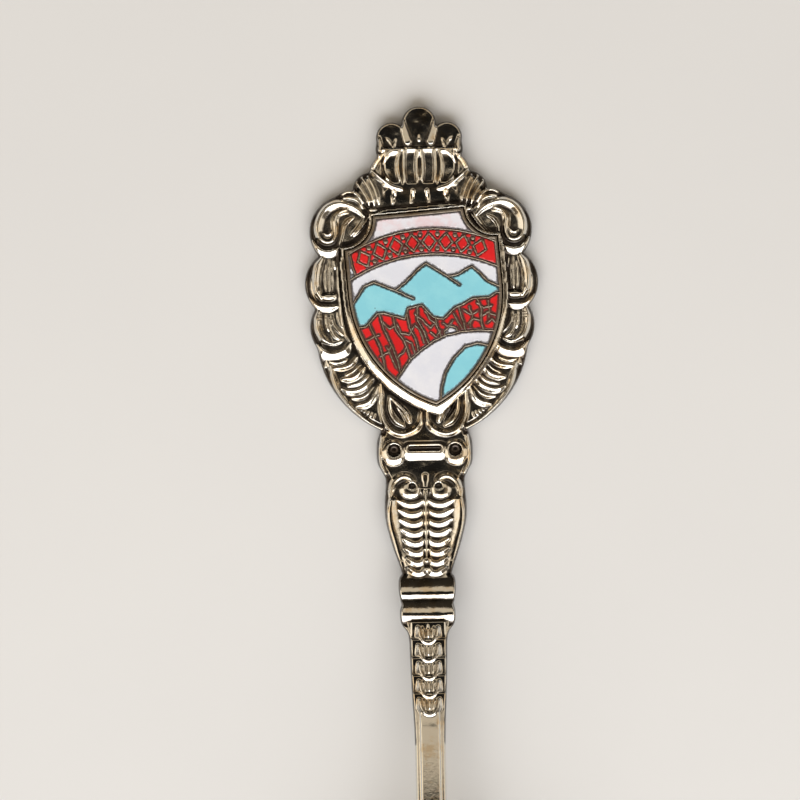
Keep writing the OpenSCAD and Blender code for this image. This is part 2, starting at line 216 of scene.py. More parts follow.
def bar(points, width, rise, edge=0.12, base=TROUGH_Z, k=0.03):
    """A flat-topped bar along a path; its height may change from one end to the other."""
    path = curve(points)
    width, rise = np.broadcast_to(width, 2), np.broadcast_to(rise, 2)
    win = near(path, width.max())
    d, t, _ = measure(path, X[win], S[win])
    body = soft_step(((width[0] + (width[1] - width[0]) * t) / 2 - d) / edge)
    level[win] = smooth_max(level[win], base - 0.2 + (0.2 + rise[0] + (rise[1] - rise[0]) * t) * body, k)


def groove(points, width, depth, ends=(0.3, 0.3)):
    """A rounded groove cut along a path."""
    path = curve(points)
    win = near(path, width)
    d, t, _ = measure(path, X[win], S[win])
    share = tapered(t, ends, 0.25)
    q = np.clip(d / (share * width / 2), 0, 1)
    level[win] -= depth * (1 - q * q) * (0.5 + 0.5 * share)


def oval(cx, cs, rx, rs, turn):
    """How far out a place is in a turned oval: 0 in the middle, 1 at the edge."""
    c, n = math.cos(math.radians(turn)), math.sin(math.radians(turn))
    u, v = (X - cx) * c + (S - cs) * n, -(X - cx) * n + (S - cs) * c
    return (u / rx) ** 2 + (v / rs) ** 2


def boss(cx, cs, rx, rs, rise, turn=0, power=0.5, base=TROUGH_Z, k=0.06):
    """A domed boss with an oval plan."""
    q = oval(cx, cs, rx, rs, turn)
    dome = base + rise * np.clip(1 - q, 0, 1) ** power - 0.3 * (q >= 1)
    level[:] = smooth_max(level, dome, k)


def scoop(cx, cs, rx, rs, depth, turn=0, power=0.5):
    """A hollow with an oval plan."""
    level[:] -= depth * np.clip(1 - oval(cx, cs, rx, rs, turn), 0, 1) ** power


def blurred(field, weight, reach, passes=3):
    """The field averaged over a square, where the weight is not zero."""
    for _ in range(passes):
        for axis in (0, 1):
            pad = [(reach + 1, reach) if a == axis else (0, 0) for a in (0, 1)]
            f = np.cumsum(np.pad(field * weight, pad, mode="edge"), axis)
            w = np.cumsum(np.pad(weight, pad, mode="edge"), axis)
            n = 2 * reach + 1
            cut = lambda c: (c[n:] - c[:-n]) if axis == 0 else (c[:, n:] - c[:, :-n])
            field = cut(f) / np.maximum(cut(w), 1e-9)
    return field


# The ground of the relief stands inside a low flange with a thin lip at its edge.
level = FLANGE_Z + 0.08 * np.clip(1 - np.abs(inside - 0.2) / 0.12, 0, 1) * soft_step((S - 4) / 1.2)
level += (TROUGH_Z - FLANGE_Z) * np.maximum(soft_step((inside - 0.4) / 0.25), soft_step((5.0 - S) / 1.2))
level += 0.05 * np.clip(4.2 - S, 0, 4.2)

# Crown: three dark petals parted by wedges, over a melon of scooped panels in a cup, on a fluted foot.
bar([(1.62, 1.15), (1.5, 2.1), (1.15, 3.5)], (0.5, 0.95), (0.2, 0.48))
bar([(3.95, 3), (3.8, 4.3)], (0.3, 0.75), (0.15, 0.34))
ridge([(3.3, 3.15), (2.95, 3.5), (2.72, 4)], 0.26, 0.18, lean=0.3)
bar([(0, 2.75), (0, 3.4)], (0.1, 0.34), (0.1, 0.2), edge=0.1)
bar([(2.3, 3.3), (2.55, 3.95)], (0.2, 0.5), (0.12, 0.24), edge=0.1)
level += 0.3 * soft_step((3.9 - X) / 0.5) * soft_step((S - 3.95) / 0.35) * soft_step((9.8 - S) / 3.2)
PANELS = ((0.22, 0.12, 1.55, 3.7, 4.3, 7.75), (1.95, 0.3, 3.7, 2.25, 4.5, 7.65))
for near_x, near_bulge, far_x, far_long, top_s, low_s in PANELS:
    run = np.clip((S - top_s) / (low_s - top_s), 0, 1)
    left = near_x + near_bulge * np.sin(math.pi * run)
    right = far_x * np.sqrt(np.clip(1 - ((S - 6.05) / far_long) ** 2, 0.05, 1))
    off_side = np.minimum(X - left, right - X)
    hollow = 0.3 * (1 - np.exp(-7 * run)) * (1 - 0.12 * run) * soft_step((low_s - S) / 0.25)
    level -= hollow * soft_step(off_side / 0.22)
    lip = 0.09 * np.exp(-(off_side / 0.09) ** 2)
    level += lip * soft_step((S - top_s + 0.1) / 0.2) * soft_step((low_s - S) / 0.5)
for x in (-0.02, 1.85, 3.62):
    groove([(x - 0.1, 4.4), (x + 0.05, 6), (x - 0.15, 7.7)], 0.42, 0.3)
ridge([(3.55, 4.7), (4.15, 5.15), (4.55, 5.8), (4.9, 6.5)], 0.55, 0.4, lean=-0.3)
ridge([(1.95, 8.32), (2.8, 8.08), (3.6, 7.5), (4.3, 6.9), (5, 6.25)], (0.62, 0.5), 0.42, lean=-0.5,
      ends=(0.8, 0.7))
for x in (0.72, 2.55):
    bar([(x, 8.45), (x + 0.18, 9.7)], (0.5, 0.35), (0.3, 0.12))
    scoop(x + 0.07, 8.95, 0.16, 0.6, 0.14)
ridge([(3, 8.3), (2.85, 9), (2.6, 9.7)], 0.2, 0.14)
boss(4.7, 10.3, 0.5, 0.26, 0.4, power=0.3)

# Shoulders: reeds that spread from the crown's foot to the volutes.
ridge([(5.15, 6.95), (4.5, 8.2), (4.1, 9.7)], 0.42, 0.36)
ridge([(5.75, 7.05), (5.15, 8), (4.75, 8.9), (4.6, 9.8)], 0.42, 0.4)
ridge([(6.3, 7.5), (5.75, 8.35), (5.3, 9.1), (5.08, 9.85)], 0.5, 0.4)
ridge([(7.75, 8.75), (7.2, 8.4), (6.8, 8.4), (6.2, 8.85), (5.65, 9.6)], 0.5, 0.45)
ridge([(7.6, 9.05), (6.7, 9.15), (6.1, 9.5), (5.75, 10.15)], 0.36, 0.32)

# Volute: one long scroll that doubles back round a slot, with a second reed inside and a cup below.
ridge([(4.9, 10.6), (5.4, 11.3), (6, 12.1), (6.7, 12.85)], 0.36, 0.3)
ridge([(5.35, 10.75), (5.85, 11.45), (6.4, 12.2), (7, 12.8)], 0.26, 0.22)
ridge([(5.6, 10.95), (6.2, 10.35), (7, 9.9), (8.1, 9.68), (9.1, 9.98), (9.75, 10.7), (10.1, 11.6),
      (10.15, 12.4), (9.9, 13), (9.4, 13.3), (8.9, 13.2), (8.62, 12.7), (8.55, 12), (8.6, 11.3),
      (8.45, 10.8), (8, 10.4), (7.4, 10.2)], (1.1, 0.62), (0.52, 0.42), lean=-0.3, ends=(0.25, 0.5),
      crest=0.35)
ridge([(8.85, 12.25), (9, 12.6), (9.35, 12.75), (9.7, 12.5)], 0.36, 0.3, lean=-0.4)
ridge([(7.1, 10.5), (7.8, 10.6), (8.2, 11), (8.25, 11.7)], 0.22, 0.22)
ridge([(6.7, 11), (7.25, 11.35), (7.65, 11.9), (7.8, 12.6), (8.05, 13.5), (8.2, 14.3)], (0.42, 0.3),
      (0.45, 0.3), lean=-0.3)
ridge([(8.1, 13.95), (8.5, 14.35), (9.2, 14.55), (10, 14.4), (10.5, 13.95), (10.75, 13.3)], 0.85, 0.5,
      lean=-0.45, ends=(0.4, 0.3))

# Fillet beside the badge, from the volute to the ribs.
ridge([(8.1, 13.8), (8.22, 15), (8.27, 16.5), (8.25, 18), (8.1, 19.6), (8, 21), (7.7, 22.5), (7.2, 23.4)],
      0.4, 0.22, ends=(0.8, 0.8))

# Upper shell: a broad outer reed, a thin one between two slots, and a lip below.
ridge([(9.8, 15), (10.25, 15.9), (10.45, 17.1), (10.4, 18.1), (10, 19)], 0.95, 0.5, lean=-0.2,
      ends=(0.5, 0.5), crest=0.4)
ridge([(9.15, 15.2), (9.17, 17), (9.2, 18.6)], 0.3, 0.34)
ridge([(8.7, 15.1), (8.66, 15.6), (8.6, 16.1)], 0.35, 0.3)
ridge([(8.95, 15.9), (8.9, 17.2), (9, 18.5)], 0.2, 0.2)
ridge([(9.5, 15.7), (9.62, 17), (9.5, 18.5)], 0.22, 0.24)
boss(9.3, 18.85, 0.8, 0.42, 0.42)
boss(8.75, 18.75, 0.3, 0.3, 0.3)
ridge([(8.45, 19.85), (9.3, 20.05), (10.2, 19.95), (10.8, 19.6), (11.15, 19.05)], 0.7, 0.45, lean=-0.45,
      ends=(0.4, 0.4))

# Lower shell: the same, bent in towards the foot, its outer reed milled across.
ridge([(10.25, 20.3), (10.4, 21.2), (10.3, 22.1), (9.9, 22.95), (9.2, 23.5)], 0.85, 0.5, lean=-0.2,
      ends=(0.6, 0.4), crest=0.4)
for s, x in ((20.6, 10.2), (20.85, 10.25), (21.1, 10.25)):
    groove([(x - 0.2, s), (x + 0.25, s - 0.03)], 0.14, 0.12)
for i in range(7):
    a = i / 6
    groove([(9.75 - 0.75 * a, 22.15 + 0.85 * a), (10.0 - 0.72 * a, 22.35 + 0.95 * a)], 0.12, 0.1)
ridge([(9.6, 20.7), (9.55, 21.6), (9.35, 22.3)], 0.22, 0.28)
ridge([(9.25, 21), (9.15, 21.9), (8.8, 22.7), (8.3, 23.15)], 0.3, 0.34)
ridge([(9, 20.7), (8.88, 21.5), (8.5, 22.15), (7.95, 22.7)], 0.28, 0.36)
ridge([(8.45, 20.5), (8.3, 21.3), (7.95, 22.1)], 0.24, 0.24)
ridge([(8, 23.25), (8.8, 23.55), (9.4, 23.35)], 0.3, 0.28)
ridge([(7.15, 23.55), (7.7, 24.3), (8.5, 24.65), (9.3, 24.7), (10, 24.35), (10.5, 23.7)], 0.95, 0.5,
      lean=-0.45, ends=(0.5, 0.4))
ridge([(7.6, 25.15), (8.4, 25.45), (9.3, 25.35)], 0.4, 0.2)

# Ribs that fan down to the foot, inside a plain rim.
for points, width, rise in (
        ([(6.55, 24.9), (7.1, 25.65), (7.9, 26), (8.9, 26.05)], 0.5, 0.42),
        ([(6.25, 25.7), (7, 26.4), (7.7, 26.75)], 0.34, 0.3),
        ([(5.85, 26), (6.5, 26.75), (7.2, 27.1), (8.1, 27.15)], 0.68, 0.46),
        ([(5.5, 26.8), (6.3, 27.5), (7.5, 27.85)], 0.5, 0.16),
        ([(5.05, 27.15), (5.7, 27.9), (6.6, 28.35), (7.5, 28.4), (8.15, 28.05)], 0.68, 0.46),
        ([(4.95, 27.95), (5.6, 28.7), (6.3, 29.05), (7.1, 29.05)], 0.4, 0.32),
        ([(4.5, 27.9), (4.95, 29), (5.7, 29.65), (6.7, 29.85)], 0.74, 0.48)):
    ridge(points, width, rise, lean=-0.45, ends=(0.5, 0.35))
ridge([(9.2, 25.7), (8.85, 27.2), (8.35, 28.4), (7.5, 29.6), (6.5, 30.6), (5.5, 31.45), (4.3, 32.15)], 0.62,
      0.42, ends=(0.6, 0.6), crest=0.4)
for i in range(5):
    ridge([(4.8 + i * 0.32, 30.6 - i * 0.1), (5.0 + i * 0.36, 31.1 - i * 0.22)], 0.16, 0.12)

# Foot: a pair of curled leaves, each in its own ring.
ridge([(4.3, 27.6), (4.25, 28.6), (4.25, 30), (4, 31.2), (3.3, 32.25), (2.2, 32.65), (1.1, 32.3),
      (0.45, 31.6), (0.3, 30.5)], (0.62, 0.8), (0.45, 0.5), lean=-0.1, ends=(0.6, 0.6), crest=0.4)
ridge([(3.45, 28.9), (3.4, 30.3), (2.9, 31.3), (2.1, 31.85)], (0.5, 0.62), 0.42, ends=(0.3, 0.6), crest=0.4)
ridge([(3.4, 28.9), (2.6, 29.7), (1.8, 30.6), (1.45, 31.4)], (0.4, 0.72), 0.42, ends=(0.3, 0.6), crest=0.4)
groove([(3.3, 29.3), (2.75, 30.4), (2.05, 31.4)], 0.34, 0.3)

# Neck: two drilled bosses and a slotted bar between thin rims.
ridge([(4.2, 32.9), (4.45, 34.4), (4.35, 35.6), (3.9, 36.6)], 0.36, 0.35, ends=(1, 0.6))
boss(3.1, 34.55, 1.25, 1.3, 0.5)
scoop(3.05, 34.3, 0.68, 0.68, 0.75)
ridge([(-0.5, 34.35), (1.5, 34.35)], 1.9, 0.5, ends=(1, 1), crest=0.6)
groove([(-0.5, 34.15), (1.4, 34.15)], 0.72, 0.5, ends=(1, 1))
level = level + under_z(S) + (thickness(S) - PLATE_T)


def ground(s):
    """The level of the plain ground below the crest."""
    return TROUGH_Z + float(under_z(s) + thickness(s)) - PLATE_T


# Lyre panel: two scrolls at its head, a plain border, and ribs down each half.
z = ground(38)
boss(1.5, 38.25, 1.1, 0.95, 0.4, base=z)
ridge([(3.35, 40.2), (3.5, 38.8), (3.2, 37.65), (2.6, 37.05), (2, 36.9), (1.45, 37.15), (1.2, 37.7),
      (1.35, 38.2)], (0.75, 0.85), 0.52, ends=(0.5, 0.5), base=z)
scoop(1.3, 37.9, 0.4, 0.36, 0.5)
bar([(0, 36.9), (0, 38.4)], (0.8, 0.4), (0.05, 0.14), base=z)
ridge([(3.35, 39.3), (3.45, 40.5), (3.3, 41.8), (2.9, 43.2), (2.45, 44.8), (2.1, 46.2)], (0.8, 1.3), 0.26,
      ends=(0.7, 0.7), base=ground(43), crest=1.2, lean=-0.3)
RIBS = 8
for i in range(RIBS):
    s = 39.75 + i * 0.97
    reach = 2.9 - 0.16 * i
    ridge([(0.25, s - 0.36), (reach * 0.3, s - 0.03), (reach * 0.62, s), (reach, s - 0.5)], 0.78, 0.36,
          lean=-0.4, ends=(0.9, 0.5), base=ground(s))
    ridge([(0.3, s + 0.12), (reach * 0.35, s + 0.4), (reach * 0.65, s + 0.4), (reach - 0.1, s)], 0.26, 0.12,
          ends=(0.6, 0.4), base=ground(s))
groove([(0.2, 38.8), (0.2, 42), (0.2, 46.8)], 0.16, 0.3)
ridge([(0, 38.4), (0, 42), (0, 46.9)], 0.36, 0.5, base=ground(43) + 0.05)

# Collar: two rolls across the stem.
for s in (48.35, 50.4):
    ridge([(-0.5, s), (3.2, s)], 2.15, 0.5, lean=0.08, ends=(1, 1), base=ground(s) - 0.05, crest=0.8)

# Stem: a chain of husks, then a flat panel between bevels.
PANEL = 0.95
panel = soft_step((PANEL + 0.12 - X) / 0.24) * soft_step((S - 52) / 0.8)
stem_level = under_z(S) + thickness(S) - BEVEL + BEVEL * panel
on_stem = soft_step((S - 51.4) / 0.5)
level = level * (1 - on_stem) + stem_level * on_stem
HUSKS = 5
for i in range(HUSKS):
    s = 53.4 + i * 1.75
    low = float(under_z(s) + thickness(s)) - 0.1
    level -= 0.14 * np.clip(1 - oval(0, s - 0.9, 0.85, 0.85, 0), 0, 1) ** 0.5
    ridge([(-0.4, s - 0.1), (0, s), (0.45, s - 0.15), (0.82, s - 0.75), (0.95, s - 1.5)], (0.66, 0.36),
          (0.34, 0.26), lean=-0.35, ends=(1, 0.7), base=low)
    for x in (0, 0.4):
        ridge([(x * 1.4, s - 1.6), (x, s - 0.5)], (0.2, 0.26), 0.2, lean=-0.2, base=low - 0.1)

# Both halves, then the turned bezel and seat of the badge.
face = np.hstack([level[:, :0:-1], level])
xs = np.concatenate([-xs[:0:-1], xs])
X, S = np.meshgrid(xs, ss)
inside = plan(X, S)

badge_low, badge_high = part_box("badge_plate")
BADGE_W, BADGE_LEN = 15.2, 19.2
BADGE_TURN = math.radians(4.5)
BADGE_X, BADGE_S = 0.5, 10.6 + BADGE_LEN / 2
CORNER_R = 3.1
SHOULDER = 2.0
DROP = SHOULDER + BADGE_LEN / 2
SIDE_R = ((BADGE_W / 2) ** 2 + DROP ** 2) / BADGE_W


def on_badge(x, s):
    """A place on the spoon in the badge's own frame, with v towards the crown."""
    dx, dv = x - BADGE_X, BADGE_S - s
    c, n = math.cos(BADGE_TURN), math.sin(BADGE_TURN)
    return dx * c + dv * n, dv * c - dx * n


def shield(u, v):
    """How far a place is outside the shield; negative inside."""
    au = np.abs(u)
    bowed = np.hypot(au + SIDE_R - BADGE_W / 2, v - SHOULDER) - SIDE_R
    side = np.where(v > SHOULDER, au - BADGE_W / 2, bowed)
    corner = CORNER_R - np.hypot(au - BADGE_W / 2, v - BADGE_LEN / 2)
    return np.maximum(np.maximum(side, v - BADGE_LEN / 2), corner)


SEAT_Z = PLATE_T - 0.5
SEAT_GAP = 0.1
BEZEL_TOP = 1.95
badge_u, badge_v = on_badge(X, S)
rim = shield(badge_u, badge_v)
low_down = soft_step((1.5 - badge_v) / 7)
far = np.hypot(np.abs(badge_u) - BADGE_W / 2, badge_v - BADGE_LEN / 2) - CORNER_R
bezel_w = (0.5 + 0.3 * low_down * soft_step((2.6 - badge_u) / 2)) * (0.5 + 0.5 * soft_step((far - 0.2) / 1.2))
out = np.clip((rim - SEAT_GAP) / bezel_w, 0, 1)
sloped = 1 - 1.2 * soft_step((badge_v - 8.6) / 0.8)
ramp = BEZEL_TOP - 0.1 * (1 - low_down) - 0.06 * np.clip(1 - out / 0.15, 0, 1)
ramp -= (0.07 + 0.25 * low_down) * out ** 1.2 * sloped
face = np.where(out < 1, smooth_max(face - 0.5 * (1 - out), ramp, 0.05), face)
# The skin of a casting polished by hand and then carried about: low swells, and finer ones over them.
dice = np.random.default_rng(11)
for reach, swell in ((2, 0.006), (6, 0.008)):
    field = blurred(dice.standard_normal(face.shape), np.ones(face.shape), reach)
    face += swell * field / field.std() * soft_step((62.3 - S) / 1.5)
face = np.where(rim < SEAT_GAP, SEAT_Z, face)

# The rolled edge: near the outline the face falls to half the thickness.
middle = under_z(S) + EDGE_Z
e = np.clip(inside / EDGE_R, 0, 1)
face = middle + (face - middle) * np.sqrt(1 - (1 - e) ** 2)

# Cells of the grid that lie on the spoon, without the floor of the seat, which is one flat fill.
mid_x, mid_s = (xs[1:] + xs[:-1]) / 2, (ss[1:] + ss[:-1]) / 2
MX, MS = np.meshgrid(mid_x, mid_s)
cells = (plan(MX, MS) > 0) & (shield(*on_badge(MX, MS)) > -0.6)
for _ in range(3):
    a, b, c, d = cells[:-1, :-1], cells[:-1, 1:], cells[1:, :-1], cells[1:, 1:]
    crossed = (a & d & ~b & ~c) | (b & c & ~a & ~d)
    for part in (a, b, c, d):
        part |= crossed
rows, cols = np.nonzero(cells)
stride = len(xs)
corner = rows * stride + cols
quads = np.stack([corner, corner + stride, corner + stride + 1, corner + 1], 1)
used = np.unique(quads)
renumber = np.full(X.size, -1)
renumber[used] = np.arange(len(used))
quads = renumber[quads]
px, ps, pz = X.ravel()[used].copy(), S.ravel()[used].copy(), face.ravel()[used].copy()

edges = np.concatenate([quads[:, [0, 1]], quads[:, [1, 2]], quads[:, [2, 3]], quads[:, [3, 0]]])
keys = edges.min(1).astype(np.int64) * len(used) + edges.max(1)
_, first, count = np.unique(keys, return_index=True, return_counts=True)
open_edges = edges[first[count == 1]]


def chained(after):
    """The closed loops in a table that gives the place after each place."""
    loops = []
    while after:
        start, b = after.popitem()
        loop = [start]
        while b != start:
            loop.append(b)
            b = after.pop(b)
        loops.append(loop)
    return loops


loops = sorted(chained({int(a): int(b) for a, b in open_edges}), key=len)
outer, seat = loops[-1], loops[-2]


def snap(x, s):
    """Moves places on to the outline."""
    for _ in range(3):
        f = plan(x, s)
        gx = (plan(x + 0.01, s) - plan(x - 0.01, s)) / 0.02
        gs = (plan(x, s + 0.01) - plan(x, s - 0.01)) / 0.02
        g = np.maximum(gx * gx + gs * gs, 0.2)
        x, s = x - f * gx / g, s - f * gs / g
    return x, s, gx, gs


# The outline's loop runs up the right side, over the crown and down the left side to the seam.
ring = np.array(outer)
at_seam = ps[ring] > ss[-1] - PITCH / 2
starts = int(np.nonzero(at_seam & ~np.roll(at_seam, -1))[0][0])
ring = np.roll(ring, -starts)
at_seam = np.roll(at_seam, -starts)
seam = np.concatenate([ring[at_seam][1:], ring[:1]])
ring = np.concatenate([ring[:1], ring[~at_seam], ring[at_seam][1:2]])
rx, rs, gx, gs = snap(px[ring], ps[ring])
for i, sign in ((0, 1), (-1, -1)):
    rx[i], rs[i], gx[i], gs[i] = sign * stem_half(ss[-1]), ss[-1], -sign, 0
norm = np.hypot(gx, gs)
gx, gs = gx / norm, gs / norm
px[ring], ps[ring], pz[ring] = rx, rs, under_z(rs) + EDGE_Z
seam_x = px[seam]

# The rolled edge goes round to the back in three rings; insets and heights as shares of the edge.
EDGE_RINGS = ((0.03, 0.44), (0.11, 0.12), (0.24, 0.0))
places = [np.stack([px, ps, pz], 1)]
faces = [tuple(int(v) for v in q) for q in quads]


def add(rows):
    """Adds places to the casting, and gives their numbers."""
    start = sum(map(len, places))
    places.append(np.asarray(rows, float))
    return np.arange(start, start + len(rows))


edge_rings = [ring]
for inset, share in EDGE_RINGS:
    last = edge_rings[-1]
    new = add(np.stack([rx + gx * inset, rs + gs * inset, under_z(rs) + EDGE_Z * share], 1))
    for i in range(len(ring) - 1):
        faces.append((int(last[i + 1]), int(last[i]), int(new[i]), int(new[i + 1])))
    edge_rings.append(new)


def within(places, loops):
    """Whether each place is inside the loops, and its distance to the nearest of them."""
    odd = np.zeros(len(places), bool)
    away = np.full(len(places), 1e9)
    for loop in loops:
        for p, q in zip(loop, np.roll(loop, -1, 0)):
            spans = (p[1] > places[:, 1]) != (q[1] > places[:, 1])
            cross = p[0] + (places[:, 1] - p[1]) / (q[1] - p[1] + 1e-12) * (q[0] - p[0])
            odd ^= spans & (places[:, 0] < cross)
            d = q - p
            t = np.clip(((places - p) @ d) / max(d @ d, 1e-12), 0, 1)
            away = np.minimum(away, np.hypot(*(places - p - t[:, None] * d).T))
    return odd, away


def flat_fill(loops, upwards, grain):
    """Triangles that fill loops of places, and the extra places put inside so that none is a long sliver."""
    points = np.vstack(loops)
    lo, hi = points.min(0), points.max(0)
    gx, gy = np.meshgrid(*(np.arange(a + grain / 2, b, grain) for a, b in zip(lo, hi)))
    gx[1::2] += grain / 2
    extra = np.stack([gx.ravel(), gy.ravel()], 1)
    odd, away = within(extra, loops)
    extra = extra[odd & (away > grain * 0.45)]
    flat = [Vector(p) for p in np.vstack([points, extra])]
    rim_edges, start = [], 0
    for loop in loops:
        rim_edges += [(start + i, start + (i + 1) % len(loop)) for i in range(len(loop))]
        start += len(loop)
    verts, _, tris, origin, _, _ = delaunay_2d_cdt(flat, rim_edges, [], 1, 1e-7)
    names = [o[0] for o in origin]
    centres = np.array([[sum(verts[i][k] for i in t) / 3 for k in (0, 1)] for t in tris])
    keep, _ = within(centres, loops)
    made = []
    for t, good in zip(tris, keep):
        if good:
            p, q, r = (verts[i] for i in t)
            t = t if ((q - p).cross(r - p) > 0) == upwards else t[::-1]
            made.append(tuple(names[i] for i in t))
    return extra, made


def close_flat(border, upwards, grain, height):
    """Closes the casting with a flat fill inside a border of its places."""
    extra, tris = flat_fill([np.vstack(places)[border][:, :2] * (1, -1)], upwards, grain)
    new = add(np.stack([extra[:, 0], -extra[:, 1], height(-extra[:, 1])], 1))
    names = np.concatenate([border, new])
    faces.extend(tuple(int(names[i]) for i in t) for t in tris)


# The seat's floor is one flat fill inside the ring of cells next to its wall.
close_flat(np.array(seat), True, 1.5, lambda s: np.full(len(s), SEAT_Z))

# The plain stem and the bowl are rows of places across the spoon, each row one closed loop.
def bowl_share(x, s, half_w, half_l):
    """0 in the middle of the bowl, 1 at its edge."""
    y, v = (BOWL_S - s) / half_l, x / half_w
    r = np.hypot(y, v)
    for _ in range(5):
        r = np.hypot(y, v / (1 + BOWL_EGG * y / np.maximum(r, 1e-6)))
    return r


def bowl_half(s):
    y = np.clip((BOWL_S - s) / (BOWL_LEN / 2), -1, 1)
    return BOWL_W / 2 * np.sqrt(1 - y * y) * (1 + BOWL_EGG * y)


def heel_half(s):
    return stem_half(s) + 1.1 * soft_step((s - 73) / 8)


def ribbon_half(s):
    stem = np.where(s < BOWL_S, heel_half(s), 0.0)
    k = 1.6 * soft_step((BOWL_S - s) / 8) + 1e-6
    return np.where(s > HEEL_S - 4, smooth_max(stem, bowl_half(s), k), stem)


def ribbon_top(x, s):
    half = ribbon_half(s)
    into = soft_step((s - 70) / 8)
    reach = PANEL * np.sqrt(np.clip((77 - s) / 4, 0, 1))
    panel = soft_step((reach + 0.12 - np.abs(x)) / 0.24) * (reach > 0)
    plain = np.where(s < HEEL_S, under_z(s) + STEM_T, RIM_Z) - BEVEL * (1 - into) * (1 - panel)
    r = bowl_share(x, s, BOWL_W / 2 - BOWL_WALL, BOWL_LEN / 2 - BOWL_WALL)
    hollow = np.where(r < 1, RIM_Z - BOWL_DEPTH * np.clip(1 - r * r, 0, 1) ** BOWL_FLARE, RIM_Z + 6 * (r - 1))
    top = np.where(s > HEEL_S - 3, smooth_min(plain, hollow, 0.22), plain)
    outer = bowl_share(x, s, BOWL_W / 2, BOWL_LEN / 2)
    off = half - np.abs(x)
    off = np.where(s < HEEL_S, off, np.maximum((1 - outer) * 11, np.minimum(off, 3) * (s < HEEL_S + 3)))
    e = np.clip(off / EDGE_R, 0, 1)
    edge = (under_z(s) + EDGE_Z) * (1 - into) + (RIM_Z - 0.3) * into
    return edge + (top - edge) * np.sqrt(1 - (1 - e) ** 2), edge


def ribbon_low(x, s):
    into = soft_step((s - 70) / 8)
    ramp = soft_step((np.abs(x) - heel_half(s) + 0.5) / 1.4) * into
    ramp = np.maximum(ramp, soft_step((s - HEEL_S - 3) / 3))
    stem = under_z(s) * (1 - ramp) + (RIM_Z - 0.62) * ramp
    r = np.clip(bowl_share(x, s, BOWL_W / 2, BOWL_LEN / 2), 0, 1)
    shell = RIM_Z - RIM_Z * (1 - r * r) ** BOWL_FLARE
    return np.where(s > HEEL_S - 2, smooth_min(stem, shell, 0.3), stem)


COLS = len(seam)
even = seam_x / stem_half(ss[-1])
fan = np.sin(np.linspace(-1, 1, COLS) * math.pi / 2)
turns = np.linspace(0, math.pi, 64)[1:]
stem_rows = ss[-1] + (HEEL_S - ss[-1]) * np.linspace(0, 1, 34)[1:-1]
bowl_rows = BOWL_S - BOWL_LEN / 2 * np.cos(turns)
stations = np.concatenate([stem_rows, [HEEL_S], bowl_rows])


def loop_at(s):
    """One row: the top from left to right, then round the right edge, the back, and the left edge."""
    into = float(soft_step((s - 68) / 12))
    half = float(ribbon_half(np.array(float(s))))
    u = even * (1 - into) + fan * into
    top_z, edge = ribbon_top(half * u, np.full(COLS, float(s)))
    low_x = (half - min(EDGE_RINGS[-1][0], half * 0.2)) * u[::-1]
    low_z = ribbon_low(low_x, np.full(COLS, float(s)))
    rings = []
    for inset, share in EDGE_RINGS[:2]:
        inset = min(inset, half * 0.2)
        rings.append((half - inset, low_z[0] + (top_z[-1] - low_z[0]) * share))
    top = [(half * a, s, b) for a, b in zip(u, top_z)]
    low = [(a, s, b) for a, b in zip(low_x, low_z)]
    return top + [(a, s, b) for a, b in rings] + low + [(-a, s, b) for a, b in rings[::-1]]


low_seam = add(loop_at(ss[-1])[COLS + 3:2 * COLS + 1])
right_edge = [names[0] for names in edge_rings[1:]]
left_edge = [names[-1] for names in edge_rings[:0:-1]]
previous = np.concatenate([seam, right_edge, low_seam, left_edge])
for s in stations:
    names = add(loop_at(s))
    for i in range(len(names)):
        j = (i + 1) % len(names)
        faces.append((int(previous[i]), int(names[i]), int(names[j]), int(previous[j])))
    previous = names

# The crest's plain back.
close_flat(np.concatenate([edge_rings[-1], low_seam[::-1]]), False, 1.6, under_z)


def piece_from(name, points, faces):
    """A mesh object from places in millimetres."""
    mesh = bpy.data.meshes.new(name)
    mesh.from_pydata((np.asarray(points, float) * MM).tolist(), [], faces)
    mesh.validate()
    piece = bpy.data.objects.new(name, mesh)
    bpy.context.scene.collection.objects.link(piece)
    mesh.polygons.foreach_set("use_smooth", [True] * len(mesh.polygons))
    return piece


spoon = piece_from("plated_casting", np.vstack(places) * (1, -1, 1) + (0, CROWN_Y, 0), faces)

# How far each place lies below its surroundings, where the plating darkens with patina, and it wears off what
# stands up;
# the rolled edge is darkened all round, and the upper part of the badge's bezel is darkened as painted shade.
mask = (inside > 0.05) * 1.0 + 1e-6
sunk = (blurred(face, mask, 5) - face) * (1 - 0.6 * soft_step((S - 51.5) / 0.8))
patina_and_shade = np.zeros(len(spoon.data.vertices))
patina_and_shade[:len(px)] = sunk.ravel()[used]
patina_and_shade[:len(px)] += 0.3 * np.clip(1 - plan(px, ps) / 0.16, 0, 1)
# Painted shade: the bezel above and beside the badge is made darker, as if in shade.
patina_and_shade[:len(px)] += (0.16 * (rim > 0) * (rim < 0.9) * (1 - low_down) * (badge_v > -6)).ravel()[used]
patina_and_shade[len(px):len(px) + 3 * len(ring)] = 0.3
layer = spoon.data.attributes.new("patina_and_shade", "FLOAT", "POINT")
layer.data.foreach_set("value", patina_and_shade)

# The rows that close at the tip of the bowl, and at the crest's sides, become single places.
whole = bmesh.new()
whole.from_mesh(spoon.data)
bmesh.ops.remove_doubles(whole, verts=whole.verts, dist=0.0001 * MM)
whole.to_mesh(spoon.data)
whole.free()


def shader(name):
    """A material with an empty Principled shader."""
    material = bpy.data.materials.new(name)
    material.use_nodes = True
    tree = material.node_tree
    tree.nodes.clear()
    out = tree.nodes.new("ShaderNodeOutputMaterial")
    main = tree.nodes.new("ShaderNodeBsdfPrincipled")
    tree.links.new(main.outputs["BSDF"], out.inputs["Surface"])
    return material, tree, main


